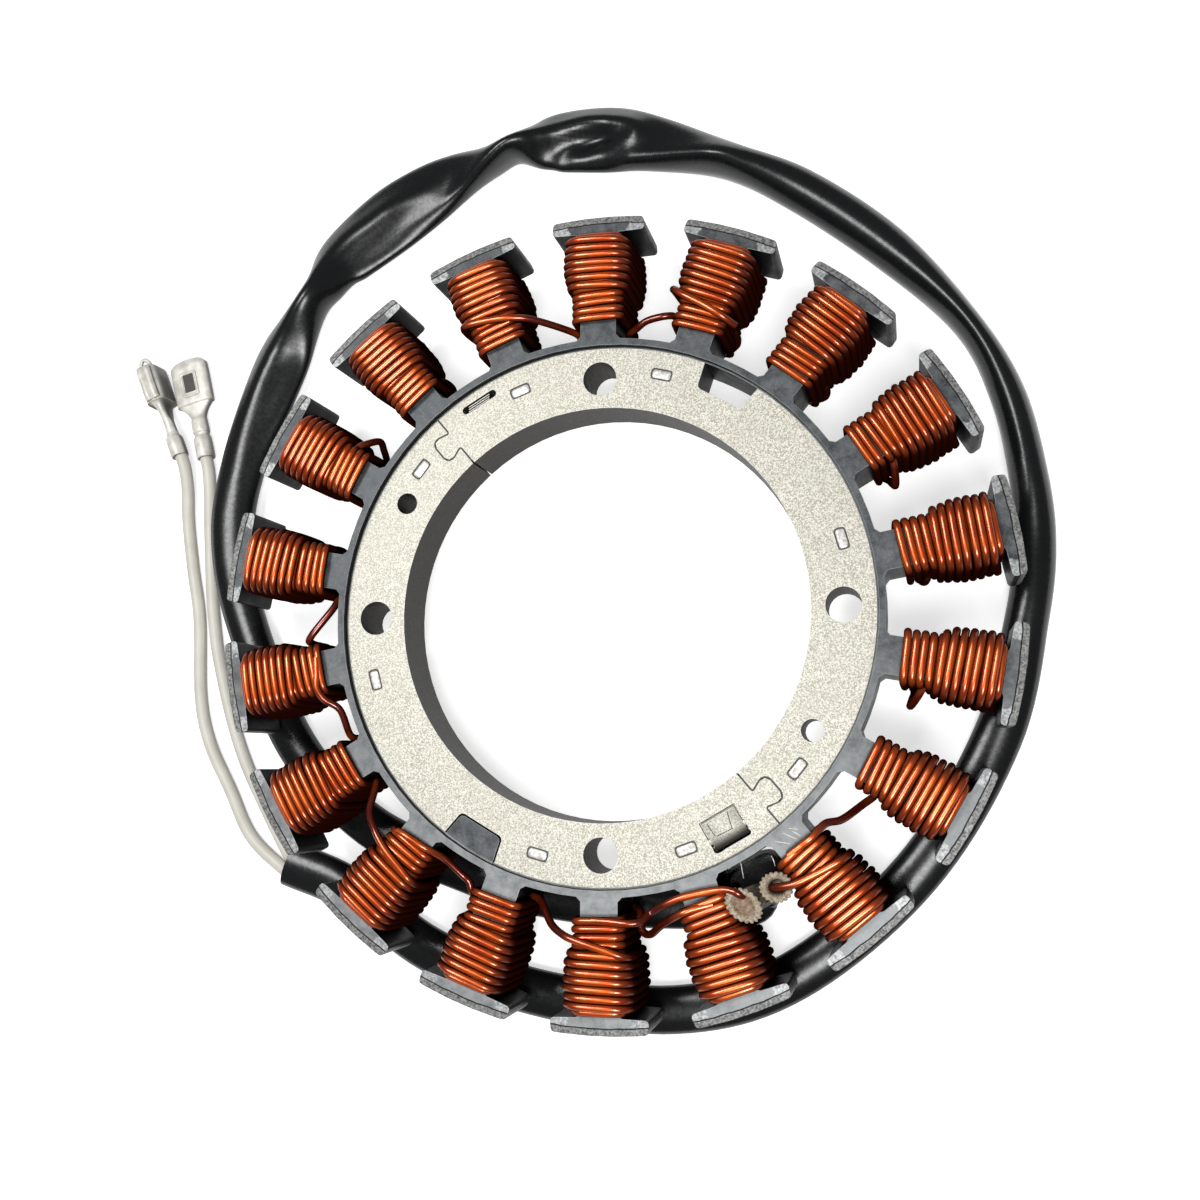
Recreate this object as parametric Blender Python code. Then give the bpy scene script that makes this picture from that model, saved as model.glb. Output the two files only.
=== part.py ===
"""Wound stator of a direct-drive motor, in metres.

The origin is on the stator's axis, half way through its stack. +Z points at the side
with the crossing wires, and +Y at pole 1. Poles count clockwise as seen from +Z.
Places near a pole or a seam are given as u, v and z: u outward along the radius,
v counter-clockwise across it, and z along the axis.
"""

import math

import bmesh
import bpy
from mathutils import Matrix, Vector

# General
GAP = 0.0003
WELD = 0.000001

# Toothed core
POLES = 18
PITCH = math.tau / POLES
CORE_HEIGHT = 0.0127
TOOTH_LENGTH = 0.0196
HEAD_HALF_WIDTH = 0.00834
HEAD_THICKNESS = 0.0030
HEAD_LIP = 0.0002
HEAD_TAPER = 0.00015
YOKE_WALL = 0.0012
TOOTH_WIDTH = 0.0065
TOOTH_FILLET = 0.0008
HEAD_CORNER = 0.0006

# Mounting ring
RING_RADIUS = 0.0474
RING_WIDTH = 0.0109
RING_HEIGHT = 0.0102
BOLT_INSET = 0.0055
BOLT_HOLE = 0.0061
DOWEL_HOLE = 0.0039
NOTCH_DEPTH = 0.0048
NOTCH_FLOOR_WIDTH = 0.0087
NOTCH_MOUTH_WIDTH = 0.0107
NOTCH_CORNER = 0.0008
SLOT_INSET = 0.0022
SLOT_LENGTH = 0.0072
SLOT_WIDTH = 0.00137
FLAP_LENGTH = 0.0045
FLAP_WIDTH = 0.0070
FLAP_CUT = 0.0004
FLAP_CUT_DEPTH = 0.0006
FLAP_BEND = 0.0013
STAKE_INSET = 0.0041
STAKE_LENGTH = 0.0039
STAKE_WIDTH = 0.0020
STAKE_DEPTH = 0.0005
STAKE_RAMP = 0.0009

# Jigsaw tongue at each seam of the ring
TONGUE_INSET = 0.00515
TONGUE_NECK = 0.0034
TONGUE_HEAD = 0.0058
TONGUE_LENGTH = 0.00375
TONGUE_ROOT = 0.0001
TONGUE_HEAD_CORNER = 0.0012
TONGUE_NECK_CORNER = 0.0003

# Angles on the ring, from the start of each half
HALF_STARTS = {"a": math.radians(-50), "b": math.radians(130)}
BOLT_ANGLES = (math.radians(50), math.radians(140))
DOWEL_ANGLE = math.radians(20)
NOTCH_ANGLE = math.radians(110)
SLOT_ANGLE = math.radians(170)
STAKE_ANGLES = tuple(math.radians(angle) for angle in (11, 65, 125, 160))

# Coils
WIRE = 0.00136
NECK_LENGTH = 0.0027
SINGLE_LAYER = 0.0069
COIL_CLEARANCE = 0.00025
COIL_HEAD_GAP = 0.0003
TURN_GROOVE = 0.00030
COIL_CORNER = 0.0012

# Braided splice sleeves, between coils 8 and 9
SPLICE_RADIUS = 0.0021
SPLICE_LENGTH = 0.0112
SPLICE_RISE = 0.00065
SPLICE_COIL_GAP = 0.000375
SPLICE_LAYER_GAP = 0.0013

# Vinyl sleeve, leads and table
TABLE = -0.0140
SLEEVE_THICKNESS = 0.0042
SLEEVE_WIDTH = 0.0084
SLEEVE_STEP = 0.0180
LEAD_RADIUS = 0.0013
LEAD_STEP = 0.0075

# Terminals
TERMINAL_LENGTH = 0.0210
TERMINAL_WIDTH = 0.0077
TERMINAL_THICKNESS = 0.0024
TERMINAL_METAL = 0.0008
BODY_LENGTH = 0.0085
SHOULDER_LENGTH = 0.0020
CRIMP_LENGTH = 0.0055
CRIMP_WALL = 0.00055
WIRE_CRIMP_RADIUS = 0.0017
WINDOW = (0.0042, 0.0026)

# What follows from the sizes above
CORE_HALF = CORE_HEIGHT / 2
RING_HALF = RING_HEIGHT / 2
RING_BORE = RING_RADIUS - RING_WIDTH
BOLT_CIRCLE = RING_RADIUS - BOLT_INSET
SLOT_RADIUS = RING_RADIUS - SLOT_INSET
STAKE_CIRCLE = RING_RADIUS - STAKE_INSET
TONGUE_RADIUS = RING_RADIUS - TONGUE_INSET
FLAP_EDGE = SLOT_RADIUS - SLOT_WIDTH / 2
FLAP_ROOT = FLAP_EDGE - FLAP_LENGTH
YOKE_BORE = RING_RADIUS + GAP
YOKE_RADIUS = YOKE_BORE + YOKE_WALL
HEAD_BASE = YOKE_RADIUS + TOOTH_LENGTH
HEAD_RADIUS = HEAD_BASE + HEAD_THICKNESS
TOOTH_HALF = TOOTH_WIDTH / 2
COIL_START = YOKE_RADIUS + NECK_LENGTH
COIL_END = HEAD_BASE - COIL_HEAD_GAP
COIL_HALF_WIDTH = TOOTH_HALF + COIL_CLEARANCE + WIRE
LAYER_RISE = WIRE * math.sqrt(3) / 2
LANE = (YOKE_RADIUS + COIL_START) / 2
YOKE_LANE = (YOKE_BORE + YOKE_RADIUS) / 2
LINK_RADIUS = WIRE / 2 - 0.00002
CROWN = CORE_HALF + GAP + LINK_RADIUS
FLANK = COIL_HALF_WIDTH + GAP + LINK_RADIUS
NECK_FLANK = TOOTH_HALF + GAP + LINK_RADIUS
LINK_END = COIL_START - GAP
SPLICE_ANGLE = math.radians(300)
SPLICE_OFFSET = SPLICE_RADIUS + GAP / 2
SPLICE_TOP = CORE_HALF + SPLICE_RISE
SPLICE_FOOT = SPLICE_TOP - SPLICE_LENGTH
CRIMP_RADIUS = LEAD_RADIUS + GAP + CRIMP_WALL

# The splices stand as near the yoke as the yoke and the coils beside them allow.
SPLICE_SLANT = SPLICE_OFFSET * math.cos(PITCH / 2)
SPLICE_REACH = COIL_HALF_WIDTH + SPLICE_COIL_GAP + SPLICE_RADIUS + SPLICE_SLANT
SPLICE_CIRCLE = max(SPLICE_REACH / math.sin(PITCH / 2), YOKE_RADIUS + GAP + SPLICE_RADIUS)

# The outer layer fills a coil from its far end in to the splices and the crossing wires.
LAYER_START = max(COIL_START + SINGLE_LAYER, SPLICE_CIRCLE + SPLICE_RADIUS + SPLICE_LAYER_GAP)
TURNS = int((COIL_END - COIL_START) / WIRE)
OUTER_TURNS = max(0, int((COIL_END - LAYER_START) / WIRE))

# How far out a wire leaves its coil's flank, and the pole whose neck it goes to
FRONT_LINKS = (
    (2, 1, 0.0028),
    (18, 1, 0.0040),
    (14, 15, 0.0054),
    (14, 13, 0.0016),
    (12, 13, 0.0014),
    (11, 12, 0.0030),
    (10, 11, 0.0046),
    (10, 9, 0.0016),
    (7, 8, 0.0036),
)
REAR_LINKS = ((2, 3), (3, 4), (4, 5), (5, 6), (6, 7), (15, 16), (16, 17), (17, 18))

# Route of the vinyl sleeve, in millimetres, from its mouth between coils 8 and 9
SLEEVE_ROUTE = (
    (27.5, -47.6, -4.5),
    (27.4, -47.7, -7.8),
    (26.7, -48.2, -10.0),
    (24.9, -49.5, -11.6),
    (21.9, -51.0, -11.9),
    (14.3, -51.7, -11.9),
    (5.0, -51.6, -11.9),
    (-4.1, -51.2, -11.9),
    (-13.5, -50.4, -11.9),
    (-29.9, -46.1, -11.9),
    (-49.6, -37.9, -11.9),
    (-65.1, -22.5, -11.9),
    (-76.8, 2.4, -11.9),
    (-80.0, 27.0, -11.9),
    (-75.5, 47.6, -11.9),
    (-61.0, 76.0, -11.9),
    (-35.0, 92.4, -11.9),
    (-4.0, 95.9, -11.9),
    (16.0, 91.0, -11.9),
    (34.9, 80.8, -11.9),
    (47.6, 69.7, -11.9),
    (60.4, 57.1, -11.9),
    (70.6, 38.6, -11.9),
    (73.3, 24.5, -11.9),
    (74.5, 14.1, -11.9),
    (73.1, 1.9, -11.9),
    (67.1, -22.0, -11.9),
    (54.6, -46.4, -11.9),
    (32.7, -65.7, -11.9),
    (9.6, -70.0, -11.9),
    (-16.4, -67.9, -11.9),
    (-37.0, -61.0, -11.9),
    (-53.4, -50.2, -11.9),
    (-66.1, -45.3, -11.9),
)

# Routes of the two leads, in millimetres, from the sleeve's end to their terminals
OUTER_LEAD_ROUTE = (
    (-67.9, -46.4, -12.7),
    (-75.0, -40.3, -12.7),
    (-79.7, -31.5, -12.7),
    (-84.7, -22.0, -12.7),
    (-87.1, -12.6, -12.7),
    (-88.0, 2.8, -12.7),
    (-89.9, 13.4, -12.7),
    (-91.2, 23.0, -12.4),
    (-91.0, 30.0, -11.2),
)
INNER_LEAD_ROUTE = (
    (-67.1, -43.2, -12.7),
    (-71.7, -35.2, -12.7),
    (-76.6, -26.0, -12.7),
    (-80.2, -16.5, -12.7),
    (-83.4, -4.8, -12.7),
    (-84.7, 2.8, -12.7),
    (-85.5, 9.6, -12.7),
    (-86.3, 21.3, -12.6),
    (-86.4, 28.4, -12.2),
)

# Rear end, heading and turn on its own axis of each terminal
TERMINAL_A = (Vector((-0.0876, 0.0367, TABLE + CRIMP_RADIUS)), math.radians(104.5), 0.0)
TERMINAL_B = (
    Vector((-0.0926, 0.0374, TABLE + TERMINAL_WIDTH / 2)),
    math.radians(113.9),
    math.radians(90),
)


def clear_scene():
    for obj in list(bpy.data.objects):
        bpy.data.objects.remove(obj, do_unlink=True)


def new_collection(name, hidden=False):
    collection = bpy.data.collections.new(name)
    bpy.context.scene.collection.children.link(collection)
    collection.hide_render = hidden
    return collection


def new_material(name, color, roughness, metallic):
    material = bpy.data.materials.new(name)
    material.use_nodes = True
    surface = material.node_tree.nodes["Principled BSDF"]
    surface.inputs["Base Color"].default_value = (*color, 1)
    surface.inputs["Roughness"].default_value = roughness
    surface.inputs["Metallic"].default_value = metallic
    return material


def pole_angle(pole):
    return math.pi / 2 - PITCH * (pole - 1)


def spot(angle, u, v, z=0.0):
    """The point at u, v and z from the ray at this angle."""
    x = u * math.cos(angle) - v * math.sin(angle)
    y = u * math.sin(angle) + v * math.cos(angle)
    return Vector((x, y, z))


def arc(radius, start, end, steps):
    """Points on a circle round the axis, both ends included."""
    angles = [start + (end - start) * step / steps for step in range(steps + 1)]
    return [spot(angle, radius, 0) for angle in angles]


def rounded(points, radii, steps=2):
    """The open path through the points, with each inner corner rounded to its radius."""
    path = [points[0]]
    for before, corner, after, radius in zip(points, points[1:], points[2:], radii):
        back = (before - corner).normalized()
        ahead = (after - corner).normalized()
        half_angle = back.angle(ahead) / 2
        reach = radius / math.tan(half_angle)
        centre = corner + (back + ahead).normalized() * radius / math.sin(half_angle)
        first = corner + back * reach - centre
        last = corner + ahead * reach - centre
        for step in range(steps + 1):
            path.append(centre + first.slerp(last, step / steps) * radius)
    path.append(points[-1])
    return path


def offset(points, distance):
    """The open path moved to its left by the distance, with its corners kept sharp."""
    normals = []
    for start, end in zip(points, points[1:]):
        along = (end - start).normalized()
        normals.append(Vector((-along.y, along.x, 0)))
    moved = [points[0] + normals[0] * distance]
    for corner, before, after in zip(points[1:], normals, normals[1:]):
        middle = (before + after).normalized()
        moved.append(corner + middle * distance / middle.dot(after))
    moved.append(points[-1] + normals[-1] * distance)
    return moved


def smooth(points, step):
    """Evenly spread points on a smooth curve through the given ones."""
    ends = [points[0] * 2 - points[1], *points, points[-1] * 2 - points[-2]]
    dense = []
    for p0, p1, p2, p3 in zip(ends, ends[1:], ends[2:], ends[3:]):
        count = 24
        for index in range(count):
            t = index / count
            bend = p0 - p1 * 2.5 + p2 * 2 - p3 * 0.5
            twist = (p3 - p0) * 0.5 + (p1 - p2) * 1.5
            dense.append(p1 + (p2 - p0) * 0.5 * t + bend * t**2 + twist * t**3)
    dense.append(points[-1])
    lengths = [0.0]
    for start, end in zip(dense, dense[1:]):
        lengths.append(lengths[-1] + (end - start).length)
    count = round(lengths[-1] / step)
    spread = []
    place = 0
    for index in range(count):
        wanted = lengths[-1] * index / count
        while lengths[place + 1] < wanted:
            place += 1
        share = (wanted - lengths[place]) / (lengths[place + 1] - lengths[place])
        spread.append(dense[place].lerp(dense[place + 1], share))
    return [*spread, dense[-1]]


def add_splines(curve, loops, cyclic):
    for loop in loops:
        spline = curve.splines.new("POLY")
        spline.points.add(len(loop) - 1)
        for point, place in zip(spline.points, loop):
            point.co = (*place, 1)
        spline.use_cyclic_u = cyclic


def finish(obj, collection, material):
    collection.objects.link(obj)
    obj.data.materials.append(material)
    return obj


def mesh_object(name, mesh, collection, material):
    """Welds the mesh, turns its faces outward and puts it in the scene."""
    solid = bmesh.new()
    solid.from_mesh(mesh)
    bmesh.ops.remove_doubles(solid, verts=solid.verts, dist=WELD)
    bmesh.ops.recalc_face_normals(solid, faces=solid.faces)
    solid.to_mesh(mesh)
    solid.free()
    mesh.materials.clear()
    obj = bpy.data.objects.new(name, mesh)
    mesh.shade_smooth()
    mesh.set_sharp_from_angle(angle=math.radians(35))
    return finish(obj, collection, material)


def plate(name, outlines, low, high, collection, material):
    """A flat piece from z low to z high. The first outline is its edge, the others holes."""
    curve = bpy.data.curves.new(name + "_outline", "CURVE")
    curve.dimensions = "2D"
    curve.fill_mode = "BOTH"
    curve.extrude = (high - low) / 2
    add_splines(curve, outlines, cyclic=True)
    drawn = bpy.data.objects.new(name + "_outline", curve)
    drawn.location.z = (high + low) / 2
    bpy.context.scene.collection.objects.link(drawn)
    bpy.context.view_layer.update()
    graph = bpy.context.evaluated_depsgraph_get()
    mesh = bpy.data.meshes.new_from_object(drawn.evaluated_get(graph))
    mesh.name = name
    mesh.transform(drawn.matrix_world)
    bpy.data.objects.remove(drawn, do_unlink=True)
    return mesh_object(name, mesh, collection, material)


def wire(name, points, radius, collection, material, width=0.0, detail=1):
    """A round wire, or a flat one where its width is given, with closed ends."""
    curve = bpy.data.curves.new(name, "CURVE")
    curve.dimensions = "3D"
    curve.twist_mode = "Z_UP" if width else "MINIMUM"
    curve.bevel_depth = radius
    curve.bevel_resolution = detail
    curve.use_fill_caps = True
    add_splines(curve, [points], cyclic=False)
    if width:
        curve.extrude = width / 2 - radius
        for point in curve.splines[0].points:
            point.tilt = math.pi / 2
    return finish(bpy.data.objects.new(name, curve), collection, material)


def loft(name, loops, collection, material, closed=False):
    """A skin over loops with the same number of points, capped unless it closes on itself."""
    skin = bmesh.new()
    rings = [[skin.verts.new(point) for point in loop] for loop in loops]
    pairs = list(zip(rings, rings[1:]))
    if closed:
        pairs.append((rings[-1], rings[0]))
    else:
        skin.faces.new(rings[0])
        skin.faces.new(rings[-1])
    for ring, following in pairs:
        for index in range(len(ring)):
            after = (index + 1) % len(ring)
            skin.faces.new((ring[index], ring[after], following[after], following[index]))
    mesh = bpy.data.meshes.new(name)
    skin.to_mesh(mesh)
    skin.free()
    return mesh_object(name, mesh, collection, material)


def block(name, size, centre, collection, material):
    solid = bmesh.new()
    bmesh.ops.create_cube(solid, size=1, matrix=Matrix.LocRotScale(centre, None, size))
    mesh = bpy.data.meshes.new(name)
    solid.to_mesh(mesh)
    solid.free()
    return mesh_object(name, mesh, collection, material)


def rod(name, radius, start, length, axis, collection, material, sides=16):
    """A cylinder from its start along X or Z."""
    turn = Matrix.Rotation(math.pi / 2, 4, "Y") if axis == "X" else Matrix.Identity(4)
    place = Matrix.Translation(start) @ turn @ Matrix.Translation((0, 0, length / 2))
    solid = bmesh.new()
    bmesh.ops.create_cone(
        solid, cap_ends=True, segments=sides, radius1=radius, radius2=radius, depth=length, matrix=place
    )
    mesh = bpy.data.meshes.new(name)
    solid.to_mesh(mesh)
    solid.free()
    return mesh_object(name, mesh, collection, material)


def combine(obj, tool, operation):
    """Cuts the tool from the object, or joins it on, and keeps the tool out of sight."""
    modifier = obj.modifiers.new(tool.name, "BOOLEAN")
    modifier.operation = operation
    modifier.object = tool
    modifier.solver = "EXACT"
    tool.hide_render = True
    tool.display_type = "WIRE"


def hole(angle, radius, diameter, sides):
    """A round outline on the ring's face."""
    centre = spot(angle, radius, 0)
    turns = [math.tau * index / sides for index in range(sides)]
    return [centre + Vector((math.cos(t), math.sin(t), 0)) * diameter / 2 for t in turns]


def long_hole(angle, radius, length, width, steps=5):
    """An outline with round ends, which lies across the radius."""
    points = []
    for side in (1, -1):
        for step in range(steps + 1):
            turn = math.pi * step / steps
            u = radius + side * math.cos(turn) * width / 2
            v = side * ((length - width) / 2 + math.sin(turn) * width / 2)
            points.append(spot(angle, u, v))
    return points


def notch_path(angle, inset):
    """The notch's walls from its clockwise mouth corner to the other, moved in by the inset."""
    floor = RING_RADIUS - NOTCH_DEPTH
    slope = (NOTCH_MOUTH_WIDTH - NOTCH_FLOOR_WIDTH) / 2 / NOTCH_DEPTH
    half_floor = NOTCH_FLOOR_WIDTH / 2 - inset + slope * inset
    floor += inset

    def half_width(u):
        return half_floor + slope * (u - floor)

    half_mouth = NOTCH_MOUTH_WIDTH / 2 - inset
    mouth = math.sqrt(RING_RADIUS**2 - half_mouth**2)
    if inset:
        mouth = YOKE_RADIUS - YOKE_WALL / 2
    corners = [
        Vector((mouth, -half_width(mouth), 0)),
        Vector((floor, -half_floor, 0)),
        Vector((floor, half_floor, 0)),
        Vector((mouth, half_width(mouth), 0)),
    ]
    path = rounded(corners, [NOTCH_CORNER, NOTCH_CORNER])
    return [spot(angle, point.x, point.y) for point in path]


def seam_path(angle, shift):
    """The jigsaw seam from the ring's rim to its bore, moved clockwise by the shift."""
    neck = TONGUE_NECK / 2
    head = TONGUE_HEAD / 2
    corners = [
        Vector((RING_RADIUS + NOTCH_DEPTH, TONGUE_ROOT, 0)),
        Vector((TONGUE_RADIUS + neck, TONGUE_ROOT, 0)),
        Vector((TONGUE_RADIUS + head, TONGUE_LENGTH, 0)),
        Vector((TONGUE_RADIUS - head, TONGUE_LENGTH, 0)),
        Vector((TONGUE_RADIUS - neck, TONGUE_ROOT, 0)),
        Vector((RING_BORE - NOTCH_DEPTH, TONGUE_ROOT, 0)),
    ]
    corners = offset(corners, shift)
    for end, radius in ((0, RING_RADIUS), (-1, RING_BORE)):
        corners[end].x = math.sqrt(radius**2 - corners[end].y ** 2)
    # A corner that the seam turns round on its inside loses the shift from its radius.
    outer = TONGUE_HEAD_CORNER - shift
    inner = TONGUE_NECK_CORNER + shift
    path = rounded(corners, [inner, outer, outer, inner])
    return [spot(angle, point.x, point.y) for point in path]


def angle_of(point):
    return math.atan2(point.y, point.x)


def arc_between(radius, first, last, steps):
    """Points strictly between two points of a circle, going counter-clockwise."""
    start = angle_of(first)
    sweep = (angle_of(last) - start) % math.tau
    return arc(radius, start, start + sweep, steps)[1:-1]


def ring_half(side, start, parts, cutters, steel):
    name = "core_ring_half_" + side
    far_seam = seam_path(start + math.pi, GAP / 2)
    near_seam = seam_path(start, -GAP / 2)
    notch = notch_path(start + NOTCH_ANGLE, 0)
    rim_before = arc_between(RING_RADIUS, near_seam[0], notch[0], 28)
    rim_after = arc_between(RING_RADIUS, notch[-1], far_seam[0], 17)
    bore = arc_between(RING_BORE, near_seam[-1], far_seam[-1], 40)
    outline = [*rim_before, *notch, *rim_after, *far_seam, *reversed(bore), *reversed(near_seam)]
    holes = [hole(start + angle, BOLT_CIRCLE, BOLT_HOLE, 24) for angle in BOLT_ANGLES]
    holes.append(hole(start + DOWEL_ANGLE, BOLT_CIRCLE, DOWEL_HOLE, 16))
    holes.append(long_hole(start + SLOT_ANGLE, SLOT_RADIUS, SLOT_LENGTH, SLOT_WIDTH))
    half = plate(name, [outline, *holes], -RING_HALF, RING_HALF, parts, steel)
    for index, angle in enumerate(STAKE_ANGLES):
        cut_stake(half, f"stake_{side}_{index + 1}", start + angle, cutters, steel)
    return half


def cut_stake(half, name, angle, cutters, steel):
    """One interlock mark: a shallow recess across the radius, with a ramp at each end."""
    long_half = STAKE_LENGTH / 2
    floor_half = long_half - STAKE_RAMP
    over = long_half + STAKE_RAMP
    top = RING_HALF + STAKE_DEPTH
    floor = RING_HALF - STAKE_DEPTH
    profile = ((-over, top), (-floor_half, floor), (floor_half, floor), (over, top))
    walls = (STAKE_CIRCLE - STAKE_WIDTH / 2, STAKE_CIRCLE + STAKE_WIDTH / 2)
    loops = [[spot(angle, u, v, z) for v, z in profile] for u in walls]
    combine(half, loft(name, loops, cutters, steel), "DIFFERENCE")


def cut_flap(half, angle, cutters, steel):
    """The flap at half B's slot: cut round three sides, its outer edge turned down."""
    edge = FLAP_EDGE
    half_width = FLAP_WIDTH / 2
    inner = half_width - FLAP_CUT
    walls = (
        (edge - FLAP_BEND, -half_width),
        (FLAP_ROOT, -half_width),
        (FLAP_ROOT, half_width),
        (edge - FLAP_BEND, half_width),
        (edge - FLAP_BEND, inner),
        (FLAP_ROOT + FLAP_CUT, inner),
        (FLAP_ROOT + FLAP_CUT, -inner),
        (edge - FLAP_BEND, -inner),
    )
    outline = [spot(angle, u, v) for u, v in walls]
    depth = RING_HALF - FLAP_CUT_DEPTH
    groove = plate("flap_groove", [outline], depth, RING_HALF + FLAP_CUT_DEPTH, cutters, steel)
    combine(half, groove, "DIFFERENCE")
    steps = 6
    turns = [math.pi / 2 * step / steps for step in range(steps + 1)]
    hub = Vector((edge - FLAP_BEND, RING_HALF - FLAP_BEND))
    profile = [hub + Vector((math.sin(t), math.cos(t))) * FLAP_BEND for t in turns]
    profile.append(Vector((SLOT_RADIUS, RING_HALF - FLAP_BEND)))
    profile.append(Vector((SLOT_RADIUS, RING_HALF + FLAP_BEND)))
    profile.append(Vector((edge - FLAP_BEND, RING_HALF + FLAP_BEND)))
    sides = [[spot(angle, p.x, v, p.y) for p in profile] for v in (-half_width, half_width)]
    bend = loft("flap_bend", sides, cutters, steel)
    combine(half, bend, "DIFFERENCE")


def core_outline():
    """Yoke and teeth as one outline, tooth by tooth and counter-clockwise."""
    root = math.sqrt(YOKE_RADIUS**2 - TOOTH_HALF**2)
    tip = math.sqrt(HEAD_RADIUS**2 - HEAD_HALF_WIDTH**2)
    lip = HEAD_HALF_WIDTH + HEAD_LIP
    spread = math.asin(HEAD_HALF_WIDTH / HEAD_RADIUS)
    quarter = PITCH / 4
    flank = [
        spot(-quarter, YOKE_RADIUS, 0),
        Vector((root, -TOOTH_HALF, 0)),
        Vector((HEAD_BASE, -TOOTH_HALF, 0)),
        Vector((HEAD_BASE + HEAD_TAPER, -lip, 0)),
        Vector((tip, -HEAD_HALF_WIDTH, 0)),
        spot(-0.8 * spread, HEAD_RADIUS, 0),
    ]
    root_side = rounded(flank[:3], [TOOTH_FILLET], steps=1)
    head_side = rounded(flank[1:], [TOOTH_FILLET, HEAD_CORNER, HEAD_CORNER])
    side = [spot(-PITCH * 0.4, YOKE_RADIUS, 0), *root_side[:-1], *head_side[1:]]
    face = [spot(share * spread, HEAD_RADIUS, 0) for share in (-0.27, 0.27)]
    mirrored = [Vector((point.x, -point.y, 0)) for point in reversed(side)]
    outline = []
    for pole in range(POLES, 0, -1):
        angle = pole_angle(pole)
        for point in [*side, *face, *mirrored]:
            outline.append(spot(angle, point.x, point.y))
    return outline


def toothed_core(parts, cutters, coating):
    bore = arc(YOKE_BORE, 0, math.tau, 72)[:-1]
    core = plate("toothed_core", [core_outline(), bore], -CORE_HALF, CORE_HALF, parts, coating)
    key_outline = notch_path(HALF_STARTS["b"] + NOTCH_ANGLE, GAP)
    key = plate("core_key", [key_outline], -RING_HALF, RING_HALF, cutters, coating)
    combine(core, key, "UNION")
    return core


def wound_section(u, layer):
    """Eight points round the tooth at u, on a rectangle with its corners cut."""
    half_y = TOOTH_HALF + COIL_CLEARANCE + layer
    half_z = CORE_HALF + COIL_CLEARANCE + layer
    cut = GAP if layer == 0 else COIL_CORNER
    quarter = [(half_y, half_z - cut), (half_y - cut, half_z)]
    quarter += [(-y, z) for y, z in reversed(quarter)]
    quarter += [(-y, -z) for y, z in quarter]
    return [Vector((u, y, z)) for y, z in quarter]


def coil_mesh(parts, copper):
    """One coil along +X: inner turns all along the tooth, and outer turns on their far part."""
    pitch = (COIL_END - COIL_START) / TURNS
    loops = []
    for turn in range(TURNS):
        layer = WIRE
        if turn >= TURNS - OUTER_TURNS:
            layer += LAYER_RISE
        start = COIL_START + turn * pitch
        if turn in (0, TURNS - OUTER_TURNS):
            loops.append(wound_section(start, layer - TURN_GROOVE))
        loops.append(wound_section(start + pitch / 2, layer))
        loops.append(wound_section(start + pitch, layer - TURN_GROOVE))
    loops.append(wound_section(COIL_END, 0))
    loops.append(wound_section(COIL_START, 0))
    return loft("coil_01", loops, parts, copper, closed=True)


def coils(parts, copper):
    first = coil_mesh(parts, copper)
    first.rotation_euler.z = pole_angle(1)
    for pole in range(2, POLES + 1):
        coil = bpy.data.objects.new(f"coil_{pole:02d}", first.data)
        coil.rotation_euler.z = pole_angle(pole)
        parts.objects.link(coil)


def link_name(first, second):
    low, high = sorted((first, second))
    if (low, high) == (1, POLES):
        low, high = high, low
    return f"link_{low:02d}_{high:02d}"


def side_towards(pole, other):
    """+1 where the other pole lies counter-clockwise of this one, else -1."""
    turn = (pole_angle(other) - pole_angle(pole)) % math.tau
    return 1 if turn < math.pi else -1


def front_link(coil, neck, leave, parts, copper):
    """Wire from a coil's flank across the gap, and down the flank of the next tooth's neck."""
    away = side_towards(coil, neck)
    back = side_towards(neck, coil)
    coil_at = pole_angle(coil)
    neck_at = pole_angle(neck)
    start = COIL_START + leave
    points = [
        spot(coil_at, start, away * FLANK, -CORE_HALF / 2),
        spot(coil_at, start, away * FLANK, CORE_HALF / 3),
        spot(coil_at, start - WIRE, away * (FLANK + WIRE / 2), CORE_HALF / 2),
        spot(neck_at, LANE, back * (NECK_FLANK + WIRE), CORE_HALF / 2),
        spot(neck_at, LANE, back * NECK_FLANK, CORE_HALF / 3),
        spot(neck_at, LANE, back * NECK_FLANK, -CORE_HALF / 2),
    ]
    wire(link_name(coil, neck), points, LINK_RADIUS, parts, copper)


def rear_link(first, second, parts, copper):
    """Wire from one neck to the next, lying on the yoke's rear face."""
    points = []
    for pole, other in ((first, second), (second, first)):
        side = side_towards(pole, other)
        angle = pole_angle(pole)
        run = [
            spot(angle, LINK_END, side * (TOOTH_HALF - WIRE), -CROWN),
            spot(angle, LANE, side * (TOOTH_HALF - WIRE), -CROWN),
            spot(angle, (LANE + YOKE_LANE) / 2, side * TOOTH_HALF, -CROWN),
            spot(angle, YOKE_LANE, side * (TOOTH_HALF + 1.5 * WIRE), -CROWN),
        ]
        points += run if pole == first else reversed(run)
    wire(link_name(first, second), points, LINK_RADIUS, parts, copper)


def splice_place(side, z):
    return spot(SPLICE_ANGLE, SPLICE_CIRCLE, side * SPLICE_OFFSET, z)


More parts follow.
